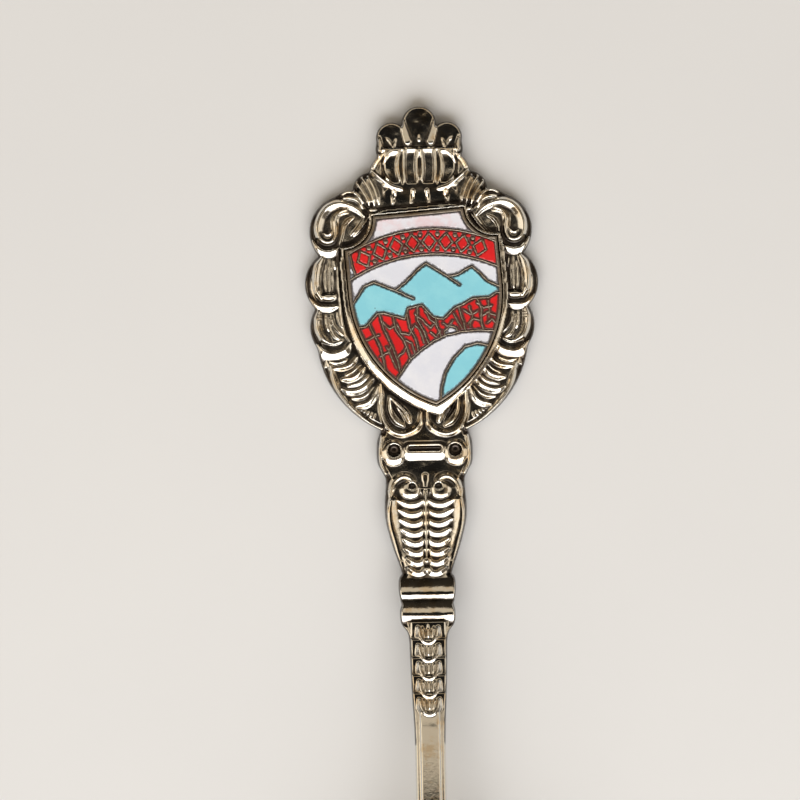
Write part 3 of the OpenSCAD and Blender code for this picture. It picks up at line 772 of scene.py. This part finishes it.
def join(tree, node, inputs):
    """Links each input to the socket given for it, or sets it to the plain value."""
    for key, source in inputs:
        if isinstance(source, bpy.types.NodeSocket):
            tree.links.new(source, node.inputs[key])
        else:
            node.inputs[key].default_value = source


def put(tree, kind, inputs=(), **settings):
    """A node with its settings and its inputs."""
    node = tree.nodes.new(kind)
    for key, value in settings.items():
        setattr(node, key, value)
    join(tree, node, inputs)
    return node


def noise(tree, where, scale, detail, rough=0.5):
    inputs = [("Vector", where), ("Scale", scale), ("Detail", detail), ("Roughness", rough)]
    return put(tree, "ShaderNodeTexNoise", inputs).outputs["Fac"]


def worked(tree, operation, *terms):
    """The result of a Math node."""
    return put(tree, "ShaderNodeMath", enumerate(terms), operation=operation).outputs[0]


def mapped(tree, source, *ends, kind="LINEAR"):
    """A value mapped from one span to another: from low, from high, to low, to high."""
    inputs = [("Value", source), *zip(("From Min", "From Max", "To Min", "To Max"), ends)]
    return put(tree, "ShaderNodeMapRange", inputs, interpolation_type=kind).outputs[0]


def blend(tree, share, one, other, kind="MIX"):
    """Two colours mixed."""
    inputs = [(0, share), (6, one), (7, other)]
    return put(tree, "ShaderNodeMix", inputs, data_type="RGBA", blend_type=kind).outputs[2]


def object_place(tree):
    return put(tree, "ShaderNodeTexCoord").outputs["Object"]


def effect(name, takes):
    """A shared effect: its node group, the sockets of its inputs, and the node for its results."""
    tree = bpy.data.node_groups.new(name, "ShaderNodeTree")
    for key, value in takes:
        kind = "NodeSocketColor" if isinstance(value, tuple) else "NodeSocketFloat"
        tree.interface.new_socket(key, in_out="INPUT", socket_type=kind).default_value = value
    for key, kind in (("Color", "Color"), ("Roughness", "Float"), ("Height", "Float")):
        tree.interface.new_socket(key, in_out="OUTPUT", socket_type="NodeSocket" + kind)
    return tree, tree.nodes.new("NodeGroupInput").outputs, tree.nodes.new("NodeGroupOutput")


def dress(tree, main, made, strength, distance):
    """Sends the results of a shared effect to the shader."""
    bump = put(tree, "ShaderNodeBump", [("Height", made.outputs["Height"]), ("Strength", strength),
                                        ("Distance", distance)])
    join(tree, main, [("Base Color", made.outputs["Color"]), ("Roughness", made.outputs["Roughness"]),
                      ("Normal", bump.outputs["Normal"])])


# Shared effect: plating that has lost its brightness in the hollows and been rubbed on the high places; the
# input that darkens it also carries painted shade.
wear_shade_group, given, out = effect("worn_plating_and_shade", (
    ("Bright", (0.7, 0.66, 0.6, 1)), ("Dull", (0.05, 0.04, 0.03, 1)), ("Worn", (0.6, 0.5, 0.35, 1)),
    ("Patina And Shade", 0.0), ("Depth", 0.25), ("Polish", 0.16), ("Scale", 900.0)))
where = object_place(wear_shade_group)
blotch = noise(wear_shade_group, where, given["Scale"], 5.0, 0.62)
fine = noise(wear_shade_group, where, 7000.0, 3.0, 0.6)
grain = noise(wear_shade_group, where, 2600.0, 4.0, 0.65)
rubbed = noise(wear_shade_group, where, 430.0, 5.0, 0.7)
patina_shade_share = worked(wear_shade_group, "DIVIDE", given["Patina And Shade"], given["Depth"])
stirred = worked(wear_shade_group, "MULTIPLY_ADD", blotch, 0.7, patina_shade_share)
dark = mapped(wear_shade_group, stirred, 0.38, 0.95, 0.0, 0.96, kind="SMOOTHSTEP")
share = mapped(wear_shade_group, rubbed, 0.47, 0.62, 0.0, 0.8, kind="SMOOTHSTEP")
lit = blend(wear_shade_group, share, given["Bright"], given["Worn"])
rough = worked(wear_shade_group, "MULTIPLY_ADD", dark, 0.14, given["Polish"])
join(wear_shade_group, out, [("Color", blend(wear_shade_group, dark, lit, given["Dull"])),
                    ("Roughness", worked(wear_shade_group, "MULTIPLY_ADD", fine, 0.1, rough)),
                    ("Height", worked(wear_shade_group, "MULTIPLY_ADD", fine, 0.25, grain))])


def plated(name, bright, worn, dull, polish, depth, bump, attribute=True, scale=900.0):
    """A plated metal that takes its wear, and any painted shade in its attribute, from the shared effect."""
    material, tree, main = shader(name)
    patina_and_shade = put(tree, "ShaderNodeAttribute", attribute_name="patina_and_shade").outputs["Fac"] if attribute else 0.04
    wear = put(tree, "ShaderNodeGroup", [
        ("Bright", (*bright, 1)), ("Worn", (*worn, 1)), ("Dull", (*dull, 1)), ("Patina And Shade", patina_and_shade),
        ("Depth", depth), ("Polish", polish), ("Scale", scale)], node_tree=wear_shade_group)
    dress(tree, main, wear, bump, 0.00003)
    main.inputs["Metallic"].default_value = 1.0
    return material


nickel = plated("nickel_plating", (0.74, 0.7, 0.62), (0.66, 0.53, 0.36), (0.04, 0.03, 0.024), 0.07, 0.25, 0.3)
spoon.data.materials.append(nickel)
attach(spoon, BODY)
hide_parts("spoon_casting")

# ==== The adhesive ===========================================================================
# A film of clear epoxy between the badge and the floor of its seat. It shows only as a thin line.

film, tree, main = shader("clear_epoxy")
cloud = noise(tree, object_place(tree), 600.0, 4.0)
join(tree, main, [("Base Color", blend(tree, cloud, (0.62, 0.55, 0.36, 1), (0.78, 0.73, 0.55, 1))),
                  ("Roughness", mapped(tree, cloud, 0.0, 1.0, 0.25, 0.5))])
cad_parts["badge_adhesive"].data.materials.clear()
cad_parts["badge_adhesive"].data.materials.append(film)

# ==== The struck badge =======================================================================
# A shield struck from brass and plated. The strike raised a rim and thin walls between the cells;
# the walls' tops are rough, and the enamel along them is darkened, partly dirt and partly painted shade. It
# lies in the seat, turned a little.

BLANK_Z = badge_low.z / MM
WALL_TOP = badge_high.z / MM
CELL_Z = WALL_TOP - 0.35
RIM_W = 0.3
WALL_W = 0.19


def shield_line(grow, fine=24):
    """The shield's outline, grown by an amount, as places in its own frame."""
    cr = CORNER_R - grow
    lean = math.asin(grow / cr)
    reach = SIDE_R + grow
    tip = math.acos((SIDE_R - BADGE_W / 2) / reach)
    corner = [math.pi - lean + (math.pi / 2 + 2 * lean) * i / fine for i in range(fine + 1)]
    side = [-tip * i / fine / 1.5 for i in range(int(fine * 1.5) + 1)]
    half = [(BADGE_W / 2 + cr * math.cos(a), BADGE_LEN / 2 + cr * math.sin(a)) for a in corner]
    half += [(BADGE_W / 2 - SIDE_R + reach * math.cos(a), SHOULDER + reach * math.sin(a)) for a in side]
    return np.array(half + [(-u, v) for u, v in half[::-1] if u > 0.001])


def to_spoon(uv, z):
    """Places in the badge's frame, in the spoon's frame."""
    uv = np.asarray(uv, float)
    c, n = math.cos(BADGE_TURN), math.sin(BADGE_TURN)
    x = BADGE_X + uv[:, 0] * c - uv[:, 1] * n
    y = CROWN_Y - BADGE_S + uv[:, 0] * n + uv[:, 1] * c
    return np.stack([x, y, np.broadcast_to(z, x.shape)], 1)


section = [(-0.06, BLANK_Z), (0, BLANK_Z + 0.06), (0, WALL_TOP - 0.1), (-0.03, WALL_TOP - 0.03),
           (-0.09, WALL_TOP), (-RIM_W + 0.08, WALL_TOP), (-RIM_W + 0.02, WALL_TOP - 0.05),
           (-RIM_W, CELL_Z + 0.05), (-RIM_W - 0.04, CELL_Z)]
lines = [shield_line(grow) for grow, _ in section]
n = len(lines[0])
points = np.vstack([to_spoon(line, z) for line, (_, z) in zip(lines, section)])
faces = [(k * n + n + i, k * n + n + (i + 1) % n, k * n + (i + 1) % n, k * n + i)
         for k in range(len(section) - 1) for i in range(n)]
for loop, k, upwards, z in ((lines[0], 0, False, BLANK_Z), (lines[-1], len(section) - 1, True, CELL_Z)):
    extra, tris = flat_fill([loop], upwards, 1.2)
    names = list(range(k * n, k * n + n)) + list(range(len(points), len(points) + len(extra)))
    points = np.vstack([points, to_spoon(extra, z)])
    faces += [tuple(names[i] for i in t) for t in tris]
blank = piece_from("badge_blank", points, faces)

# Each wall's path, in the badge's own frame.
BANNER_R = 15.5
BANNER_TOP = 7.9
BANNER_LOW = 5.4


def bow(apex, u):
    return apex - BANNER_R + math.sqrt(BANNER_R ** 2 - u * u)


top_bow = [(u, bow(BANNER_TOP, u)) for u in np.linspace(-8.8, 8.8, 40)]
low_bow = [(u, bow(BANNER_LOW, u)) for u in np.linspace(-8.8, 8.8, 40)]
banner_end = [(-7.3, 7.5), (-7, 5), (-6.7, 3.5)]
ridge_line = [(-9.5, -0.6), (-7.3, 1.2), (-6, 2.8), (-5, 3.1), (-3, 2.1), (-1.9, 2.8), (-0.5, 4), (0.3, 4.5),
              (1, 4), (2.3, 3), (3.4, 3.1), (4.8, 3.8), (5.5, 3.1), (6.2, 2.2), (7.2, 1.6), (9.5, 0.8)]
left_spur = [(-3, 2.1), (-2, 1.5), (-1.2, 1.1)]
right_spur = [(2.3, 3), (2.9, 2.5), (3.5, 2)]
rock_top = [(-9.5, -1.5), (-6.2, -1.2), (-5.6, -0.6), (-5, 0), (-4.2, -0.1), (-2.3, -0.8), (-1.9, 0.2),
            (-0.5, 0.4), (0.5, -0.9), (1.5, -1.2), (2.7, -0.2), (3.6, 0.1), (4.7, 0.6), (6.2, 0.5),
            (7, 0.9), (9.5, 0.9)]
bank = [(-5.6, -9.5), (-4.6, -8), (-3.6, -6.6), (-2.2, -4.9), (-1.1, -4.1), (0.3, -3.3), (1.6, -2.8),
        (3.2, -2.6), (4.8, -2.6), (6.2, -2.8), (9.5, -3.6)]
shore = [(0.4, -11), (0.5, -9.1), (0.7, -7.9), (1.2, -6.5), (2.2, -5.1), (3.4, -4.1), (4.6, -3.9),
         (5.7, -4.2), (9.5, -5.6)]
patch = [(1.4, -3.4), (1.5, -2.4), (2.1, -1.9), (2.7, -2.2), (3, -3.2)]
clefts = [[(-6.2, 0), (-5.7, -1.5), (-5, -3.4), (-4.8, -4.8), (-4.6, -8)],
          [(-5, 1), (-4.5, -1.6), (-3.9, -3.2), (-3.4, -5), (-3, -8)],
          [(-3.6, 1), (-3.3, -1.8), (-2.6, -2.9), (-2.3, -4), (-1.8, -6)],
          [(-2.2, 1), (-1.9, -1.7), (-1.4, -3), (-1.1, -5)],
          [(-0.8, 1.5), (-1.1, -1), (-0.5, -2.3), (0.1, -4.5)],
          [(0.6, 0.5), (0.8, -1.8), (1, -2.4), (1.2, -4)],
          [(3, 1), (3.3, -0.9), (3.5, -1.8), (3.7, -3.8)],
          [(4.7, 1.6), (5.4, -0.6), (5.2, -1.6), (5.6, -4)]]


def dense(path, step=0.12):
    """The path with a place about every step."""
    path = np.array(path, float)
    out = [path[0]]
    for a, b in zip(path, path[1:]):
        count = max(1, int(np.hypot(*(b - a)) / step))
        out += [a + (b - a) * i / count for i in range(1, count + 1)]
    return np.array(out)


def height_at(path, u):
    p = np.array(path, float)
    return np.interp(u, p[:, 0], p[:, 1])


def cut(path, keep):
    """The longest stretch of a path whose places pass the test."""
    path = dense(path)
    ok = keep(path)
    best, run = (0, 0), 0
    for i, good in enumerate(list(ok) + [False]):
        if good:
            run += 1
        else:
            best = max(best, (run, i))
            run = 0
    return path[best[1] - best[0]:best[1]]


def on_shield(p):
    return shield(p[:, 0], p[:, 1]) < -RIM_W / 2


def between(low, high):
    """A test for places on the shield that lie between two paths."""
    def test(p):
        u, v = p.T
        return on_shield(p) & (v < height_at(high, u) + 0.05) & (v > height_at(low, u) - 0.05)
    return test


in_rocks = between(bank, rock_top)
long_walls = (top_bow, low_bow, ridge_line, left_spur, right_spur, rock_top, bank, shore)
wall_paths = [cut(p, on_shield) for p in long_walls]
wall_paths += [cut(p, in_rocks) for p in clefts + [patch]]
wall_paths.append(cut(banner_end, between(low_bow, top_bow)))
# Finer breaks in the rocks, struck shallower than the walls.
breaks = [[(-6.4, -2.6), (-5.6, -2.3), (-5.0, -2.2)], [(-4.4, -3.4), (-3.9, -4.6), (-3.6, -5.6)],
          [(-5.1, -4.3), (-4.3, -4.0), (-3.9, -3.2)], [(-4.5, -1.0), (-3.9, -1.6), (-3.4, -1.4)],
          [(-3.5, -4.6), (-2.9, -4.2), (-2.4, -3.6)], [(-3.2, -1.2), (-2.8, -2.2), (-2.0, -2.4),
          (-1.5, -1.6)], [(-2.5, -2.9), (-1.9, -3.3), (-1.6, -4.6)], [(-1.4, -1.5), (-0.9, -2.0),
          (-0.6, -3.4)], [(-1.2, -0.4), (-0.5, -1.2), (0.1, -2.0), (0.6, -1.5)], [(-0.2, -0.2), (0.2, -1.1),
          (0.9, -1.7)], [(0.1, -2.4), (0.6, -2.9), (1.1, -2.3)], [(1.4, -1.6), (1.9, -2.0), (2.4, -1.4)],
          [(2.6, -0.7), (2.9, -1.5), (3.3, -2.3)], [(3.6, -0.5), (4.3, -1.0), (5.0, -0.7)], [(3.9, -2.0),
          (4.5, -1.4), (5.1, -1.7)], [(4.2, -0.2), (4.4, -1.2), (4.1, -2.3)], [(5.0, 0.1), (5.6, -0.5),
          (6.4, -0.3)], [(5.4, -1.2), (6.0, -0.9), (6.7, -1.3)], [(5.8, -2.0), (6.3, -1.6), (6.8, -2.2)],
          [(6.1, 0.2), (6.2, -0.7), (6.0, -1.5)]]
break_paths = [cut(p, in_rocks) for p in breaks]


def growth(name, takes):
    """A Geometry Nodes tree with named inputs, the sockets of its inputs, and its output node."""
    tree = bpy.data.node_groups.new(name, "GeometryNodeTree")
    for key, kind in (("Geometry", "Geometry"), *takes):
        tree.interface.new_socket(key, in_out="INPUT", socket_type="NodeSocket" + kind)
    tree.interface.new_socket("Geometry", in_out="OUTPUT", socket_type="NodeSocketGeometry")
    return tree, tree.nodes.new("NodeGroupInput").outputs, tree.nodes.new("NodeGroupOutput")


def complete(tree, made, metal, out):
    """Ends a tree: smooth shading, Realize Instances and Set Material."""
    soft = put(tree, "GeometryNodeSetShadeSmooth", [("Geometry", made.outputs[0])])
    whole = put(tree, "GeometryNodeRealizeInstances", [("Geometry", soft.outputs[0])])
    dressed = put(tree, "GeometryNodeSetMaterial", [("Geometry", whole.outputs[0]), ("Material", metal)])
    join(tree, out, [(0, dressed.outputs[0])])


def grown(name, start, tree, values):
    """Runs a Geometry Nodes tree on an object and keeps the result as a plain mesh object."""
    modifier = start.modifiers.new(name, "NODES")
    modifier.node_group = tree
    for item in tree.interface.items_tree:
        if item.item_type == "SOCKET" and item.in_out == "INPUT" and item.name in values:
            modifier[item.identifier] = values[item.name]
    bpy.context.view_layer.update()
    ready = start.evaluated_get(bpy.context.evaluated_depsgraph_get())
    mesh = bpy.data.meshes.new_from_object(ready)
    mesh.name = name
    piece = bpy.data.objects.new(name, mesh)
    bpy.context.scene.collection.objects.link(piece)
    start.modifiers.clear()
    bpy.data.objects.remove(start)
    return piece


def lines_object(name, paths, closed=False):
    """Paths in the badge's frame as a mesh of edges, at height 0 of the walls."""
    points, edges = [], []
    for path in paths:
        start = len(points)
        points += list(to_spoon(path, WALL_TOP - 0.06) * MM)
        edges += [(start + i, start + i + 1) for i in range(len(path) - 1)]
        if closed:
            edges.append((start + len(path) - 1, start))
    mesh = bpy.data.meshes.new(name)
    mesh.from_pydata([tuple(p) for p in points], edges, [])
    ob = bpy.data.objects.new(name, mesh)
    bpy.context.scene.collection.objects.link(ob)
    return ob


# The walls: a rounded strip swept along each path, with the wander and swell of a worn die.
sweep, given, out = growth("swept_wall", (("Width", "Float"), ("Wander", "Float"), ("Seed", "Float"),
                                          ("Metal", "Material")))
curves = put(sweep, "GeometryNodeMeshToCurve", [("Mesh", given["Geometry"])])
even_steps = put(sweep, "GeometryNodeResampleCurve", [("Curve", curves.outputs[0]), ("Length", 0.00009)],
                 mode="LENGTH")
place = put(sweep, "GeometryNodeInputPosition")
drift, swell = [
    put(sweep, "ShaderNodeTexNoise", [("Vector", place.outputs[0]), ("W", given["Seed"]), ("Scale", scale),
                                      ("Detail", 2.0)], noise_dimensions="4D") for scale in (1400.0, 3600.0)]
push = drift.outputs["Color"]
for operation, key, value in (("SUBTRACT", 1, (0.5, 0.5, 0.5)), ("MULTIPLY", 1, (1, 1, 0)),
                              ("SCALE", "Scale", given["Wander"])):
    push = put(sweep, "ShaderNodeVectorMath", [(0, push), (key, value)], operation=operation).outputs[0]
moved = put(sweep, "GeometryNodeSetPosition", [("Geometry", even_steps.outputs[0]), ("Offset", push)])
radius = worked(sweep, "MULTIPLY", given["Width"], 0.5)
outline = put(sweep, "GeometryNodeCurvePrimitiveCircle", [("Resolution", 8), ("Radius", radius)])
tube = put(sweep, "GeometryNodeCurveToMesh", [
    ("Curve", moved.outputs[0]), ("Profile Curve", outline.outputs[0]),
    ("Scale", mapped(sweep, swell.outputs[0], 0.3, 0.7, 0.7, 1.3)), ("Fill Caps", True)])
complete(sweep, tube, given["Metal"], out)

badge_metal = plated("badge_plating", (0.34, 0.29, 0.23), (0.26, 0.19, 0.12), (0.03, 0.02, 0.015), 0.38, 0.2,
                     1.0, attribute=False, scale=5200.0)
blank.data.materials.append(badge_metal)
walls = grown("badge_walls", lines_object("wall_lines", wall_paths), sweep,
              {"Width": WALL_W * MM, "Wander": 0.0002, "Seed": 4.0, "Metal": badge_metal})
rock_breaks = grown("rock_breaks", lines_object("break_lines", break_paths), sweep,
                    {"Width": 0.17 * MM, "Wander": 0.0004, "Seed": 6.0, "Metal": badge_metal})

# Lozenges and studs stand in rows along the middle of the banner.
LOZENGE = (1.35, 1.7)
LOZENGES = 8
STUD = 0.4
STUD_V = 0.72
row = BADGE_W * 0.87 / LOZENGES
middle = (BANNER_TOP + BANNER_LOW) / 2


def along_banner(count, shape):
    """A shape of places, set count times along the banner and turned with it."""
    made = []
    for i in range(count):
        u = (i - (count - 1) / 2) * row
        a = -math.asin(u / BANNER_R)
        c, n = math.cos(a), math.sin(a)
        made.append(np.array([(u + p * c - q * n, bow(middle, u) + p * n + q * c) for p, q in shape]))
    return made


corners = [(LOZENGE[0] / 2, 0), (0, LOZENGE[1] / 2), (-LOZENGE[0] / 2, 0), (0, -LOZENGE[1] / 2)]
rings = along_banner(LOZENGES, dense(corners + corners[:1], 0.1)[:-1])
motifs = grown("banner_lozenges", lines_object("lozenge_lines", rings, True), sweep,
               {"Width": 0.22 * MM, "Wander": 0.00016, "Seed": 9.0, "Metal": badge_metal})

studding, given, out = growth("stud_row", (("Diameter", "Float"), ("Seed", "Int"), ("Metal", "Material")))
ball = put(studding, "GeometryNodeMeshIcoSphere", [
    ("Subdivisions", 3), ("Radius", worked(studding, "MULTIPLY", given["Diameter"], 0.5))])
size = put(studding, "FunctionNodeRandomValue", [("Seed", given["Seed"]), (2, 0.85), (3, 1.15)],
           data_type="FLOAT").outputs[1]
squat = put(studding, "ShaderNodeCombineXYZ", [("X", size), ("Y", size), ("Z", 0.5)])
rowed = put(studding, "GeometryNodeInstanceOnPoints", [
    ("Points", given["Geometry"]), ("Instance", ball.outputs[0]), ("Scale", squat.outputs[0])])
complete(studding, rowed, given["Metal"], out)
pairs = np.vstack(along_banner(LOZENGES - 1, [(0, STUD_V), (0, -STUD_V)]))
studs = grown("banner_studs", lines_object("stud_places", [pairs]), studding,
              {"Diameter": STUD * MM, "Seed": 3, "Metal": badge_metal})

for piece in (blank, walls, rock_breaks, motifs, studs):
    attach(piece, BODY)
    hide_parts("badge_plate")

# ==== The enamel =============================================================================
# Soft enamel, wiped into the cells and baked. It lies just under the tops of the walls, with pin
# holes, a faint orange peel and specks of dust; each colour was laid by hand, so it varies a little.
# Along the walls it darkens in a ragged band, partly dirt and partly painted shade.

# Shared effect: baked enamel with pin holes, and a dark colour for dirt and painted shade along the walls.
pitted, given, out = effect("baked_enamel", (
    ("Colour", (1, 1, 1, 1)), ("Other", (1, 1, 1, 1)), ("Grime And Shade", (0.035, 0.022, 0.018, 1)), ("Shift", 0.0),
    ("From Wall", 1.0)))
shift = [(0, object_place(pitted)), (1, given["Shift"])]
where = put(pitted, "ShaderNodeVectorMath", shift, operation="ADD").outputs[0]
cloud = mapped(pitted, noise(pitted, where, 420.0, 4.0, 0.6), 0.45, 0.7, 0.0, 1.0)
pits = put(pitted, "ShaderNodeTexVoronoi", [("Vector", where), ("Scale", 1500.0)]).outputs
hole = mapped(pitted, pits["Distance"], 0.06, 0.13, 0.6, 0.0)
spot = worked(pitted, "MULTIPLY", hole, worked(pitted, "GREATER_THAN", pits["Color"], 0.86))
ragged = noise(pitted, where, 5200.0, 3.0, 0.7)
# A ragged dark band along the walls: partly dirt, partly painted shade where the enamel meets them.
edge = worked(pitted, "MULTIPLY_ADD", ragged, -0.28, given["From Wall"])
grime_and_shade = worked(pitted, "MAXIMUM", mapped(pitted, edge, -0.03, 0.06, 0.9, 0.0), spot)
laid = blend(pitted, cloud, given["Colour"], given["Other"])
peel = noise(pitted, where, 1800.0, 3.0)
join(pitted, out, [("Color", blend(pitted, grime_and_shade, laid, given["Grime And Shade"])),
                   ("Roughness", mapped(pitted, peel, 0.0, 1.0, 0.3, 0.5)),
                   ("Height", worked(pitted, "SUBTRACT", peel, grime_and_shade))])


def enamel(name, colour, other, shift):
    """A baked enamel, with a second colour clouded into the first."""
    material, tree, main = shader(name)
    wall = put(tree, "ShaderNodeAttribute", attribute_name="from_wall").outputs["Fac"]
    baked = put(tree, "ShaderNodeGroup", [("Colour", (*colour, 1)), ("Other", (*other, 1)), ("Shift", shift),
                                          ("From Wall", wall)], node_tree=pitted)
    dress(tree, main, baked, 0.3, 0.00002)
    join(tree, main, [("Coat Weight", 0.2), ("Coat Roughness", 0.15)])
    return material


CELL_STEP = 0.14
CLIMB = 0.035


def cell_loops(node):
    """The outlines of a cell's fill, from the top of its solid, as loops of places in millimetres."""
    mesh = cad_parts[node].data
    co = np.array([v.co for v in mesh.vertices]) / MM
    top = co[:, 2].max()
    keys = [tuple(np.round(p[:2], 4)) for p in co]
    used = {}
    for f in mesh.polygons:
        if all(co[i, 2] > top - 0.01 for i in f.vertices):
            ring = [keys[i] for i in f.vertices]
            used.update(((a, b), True) for a, b in zip(ring, ring[1:] + ring[:1]))
    after = {a: b for a, b in used if (b, a) not in used}
    return [dense(loop + loop[:1], CELL_STEP)[:-1] for loop in chained(after)], top


def fill_cell(name, node, finish, dark_edge_narrowing=1.0, grain=0.24, lines=()):
    """Enamel in a cell: it climbs a little at the walls and sinks in the middle."""
    loops, top = cell_loops(node)
    extra, tris = flat_fill(loops, True, grain)
    flat = np.vstack(loops + [extra])
    away = np.concatenate([np.zeros(len(flat) - len(extra)), within(extra, loops)[1]])
    for line in lines:
        d, _, _ = measure(to_spoon(line, 0)[:, :2], flat[:, 0], flat[:, 1])
        away = np.minimum(away, np.maximum(d - 0.07, 0))
    z = top - 0.02 + CLIMB * np.exp(-away / 0.12)
    n = len(flat)
    points = np.vstack([np.column_stack([flat, z]), np.column_stack([flat, np.full(n, CELL_Z)])])
    faces = tris + [tuple(i + n for i in t[::-1]) for t in tris]
    start = 0
    for loop in loops:
        for i in range(len(loop)):
            a, b = start + i, start + (i + 1) % len(loop)
            faces.append((b, a, a + n, b + n))
        start += len(loop)
    piece = piece_from(name, points, faces)
    sharp = piece.data.attributes.new("sharp_face", "BOOLEAN", "FACE")
    sharp.data.foreach_set("value", [i >= len(tris) for i in range(len(faces))])
    # from_wall sets how far the dark band of dirt and painted shade reaches into the cell.
    layer = piece.data.attributes.new("from_wall", "FLOAT", "POINT")
    layer.data.foreach_set("value", np.concatenate([away, away]) * dark_edge_narrowing)
    piece.data.materials.append(finish)
    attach(piece, BODY)
    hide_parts(node)
    return piece


white = enamel("white_enamel", (0.74, 0.76, 0.84), (0.82, 0.83, 0.88), 0.0)
pink = enamel("pink_white_enamel", (0.79, 0.78, 0.84), (0.80, 0.55, 0.57), 0.1)
red = enamel("red_enamel", (0.64, 0.004, 0.006), (0.76, 0.010, 0.012), 0.2)
blue = enamel("pale_blue_enamel", (0.25, 0.64, 0.75), (0.30, 0.70, 0.79), 0.3)
# The last column narrows the dark band of dirt and painted shade along the walls.
for name, finish, slot, dark_edge_narrowing in (
        ("top_panel", pink, "enamel_white", 1.0), ("banner", red, "enamel_red", 2.0),
        ("banner_lozenges", red, "enamel_red", 3.0), ("banner_end", white, "enamel_white", 2.5),
        ("sky", white, "enamel_white", 1.0), ("mountains", blue, "enamel_blue", 1.0),
        ("snow_patch", white, "enamel_white", 1.6), ("river", white, "enamel_white", 1.0),
        ("lake", blue, "enamel_blue", 1.0)):
    fill_cell(name + "_fill", "enamel_" + name, finish, dark_edge_narrowing)
for i in range(1, 10):
    fill_cell(f"rock_{i}_fill", f"enamel_rock_{i}", red, 1.0, 0.13, break_paths)

# ==== The table, the light and the camera ====================================================
# The spoon lies on its back on a plain pale table, under one broad soft light and a dim room.

table_mesh = bpy.data.meshes.new("table")
table_mesh.from_pydata([(-3, -3, 0), (3, -3, 0), (3, 3, 0), (-3, 3, 0)], [], [(0, 1, 2, 3)])
table = bpy.data.objects.new("table", table_mesh)
bpy.context.scene.collection.objects.link(table)
paper, tree, main = shader("pale_table")
fibre = noise(tree, object_place(tree), 30.0, 6.0)
join(tree, main, [("Base Color", blend(tree, fibre, (0.70, 0.70, 0.70, 1), (0.74, 0.74, 0.735, 1))),
                  ("Roughness", 0.8), ("Specular IOR Level", 0.1)])
table_mesh.materials.append(paper)
table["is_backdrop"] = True


def lamp(name, at, size, power, colour, aim=(0, 0.026, 0)):
    data = bpy.data.lights.new(name, "AREA")
    data.shape = "RECTANGLE"
    data.size, data.size_y = size
    data.energy = power
    data.color = colour
    ob = bpy.data.objects.new(name, data)
    bpy.context.scene.collection.objects.link(ob)
    ob.location = at
    ob.rotation_euler = (Vector(aim) - Vector(at)).to_track_quat("-Z", "Y").to_euler()
    return ob


lamp("window", (0.0, -0.68, 0.53), (1.4, 0.8), 13.5, (0.985, 0.99, 1.0))
lamp("warm_wall", (-0.75, -0.08, 0.55), (0.6, 0.9), 2.0, (1.0, 0.90, 0.75))
lamp("far_wall", (0.8, -0.04, 0.50), (0.55, 0.8), 1.2, (1.0, 0.92, 0.80))
lamp("ceiling_north", (0.0, 0.345, 0.80), (1.0, 0.43), 0.85, (1.0, 0.87, 0.69))
world = bpy.data.worlds.new("room")
bpy.context.scene.world = world
world.use_nodes = True
sky = world.node_tree
sky.nodes.clear()
way = put(sky, "ShaderNodeTexCoord").outputs["Generated"]
part = put(sky, "ShaderNodeSeparateXYZ", [(0, way)]).outputs
ramp = put(sky, "ShaderNodeValToRGB", [("Fac", part["Z"])])
bands = ramp.color_ramp.elements
bands[0].position, bands[0].color = 0.0, (0.14, 0.12, 0.10, 1)
bands[1].position, bands[1].color = 1.0, (0.006, 0.006, 0.006, 1)
for position, colour in (
        (0.5, (0.16, 0.13, 0.10, 1)), (0.8, (0.34, 0.27, 0.19, 1)), (0.9, (0.22, 0.17, 0.12, 1)),
        (0.96, (0.03, 0.024, 0.018, 1)), (0.98, (0.004, 0.004, 0.004, 1))):
    bands.new(position).color = colour
north = mapped(sky, part["Y"], 0.05, 0.55, 1.0, 0.12)
room = blend(sky, 1.0, ramp.outputs["Color"], north, kind="MULTIPLY")
back = put(sky, "ShaderNodeBackground", [("Color", room), ("Strength", 1.0)])
put(sky, "ShaderNodeOutputWorld", [("Surface", back.outputs[0])])
bpy.context.scene.view_settings.view_transform = "Standard"

LENS_DISTANCE = 0.35
FIELD = 0.08
eye = bpy.data.cameras.new("eye")
eye.sensor_width = 36.0
eye.lens = 36.0 * LENS_DISTANCE / FIELD
eye.clip_start = 0.01
eye.clip_end = 20.0
camera = bpy.data.objects.new("eye", eye)
bpy.context.scene.collection.objects.link(camera)
camera.location = (-0.00237, CROWN_Y * MM - 0.02926, LENS_DISTANCE)
camera.rotation_euler = (0, 0, math.radians(-1.05))
bpy.context.scene.camera = camera

low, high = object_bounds()
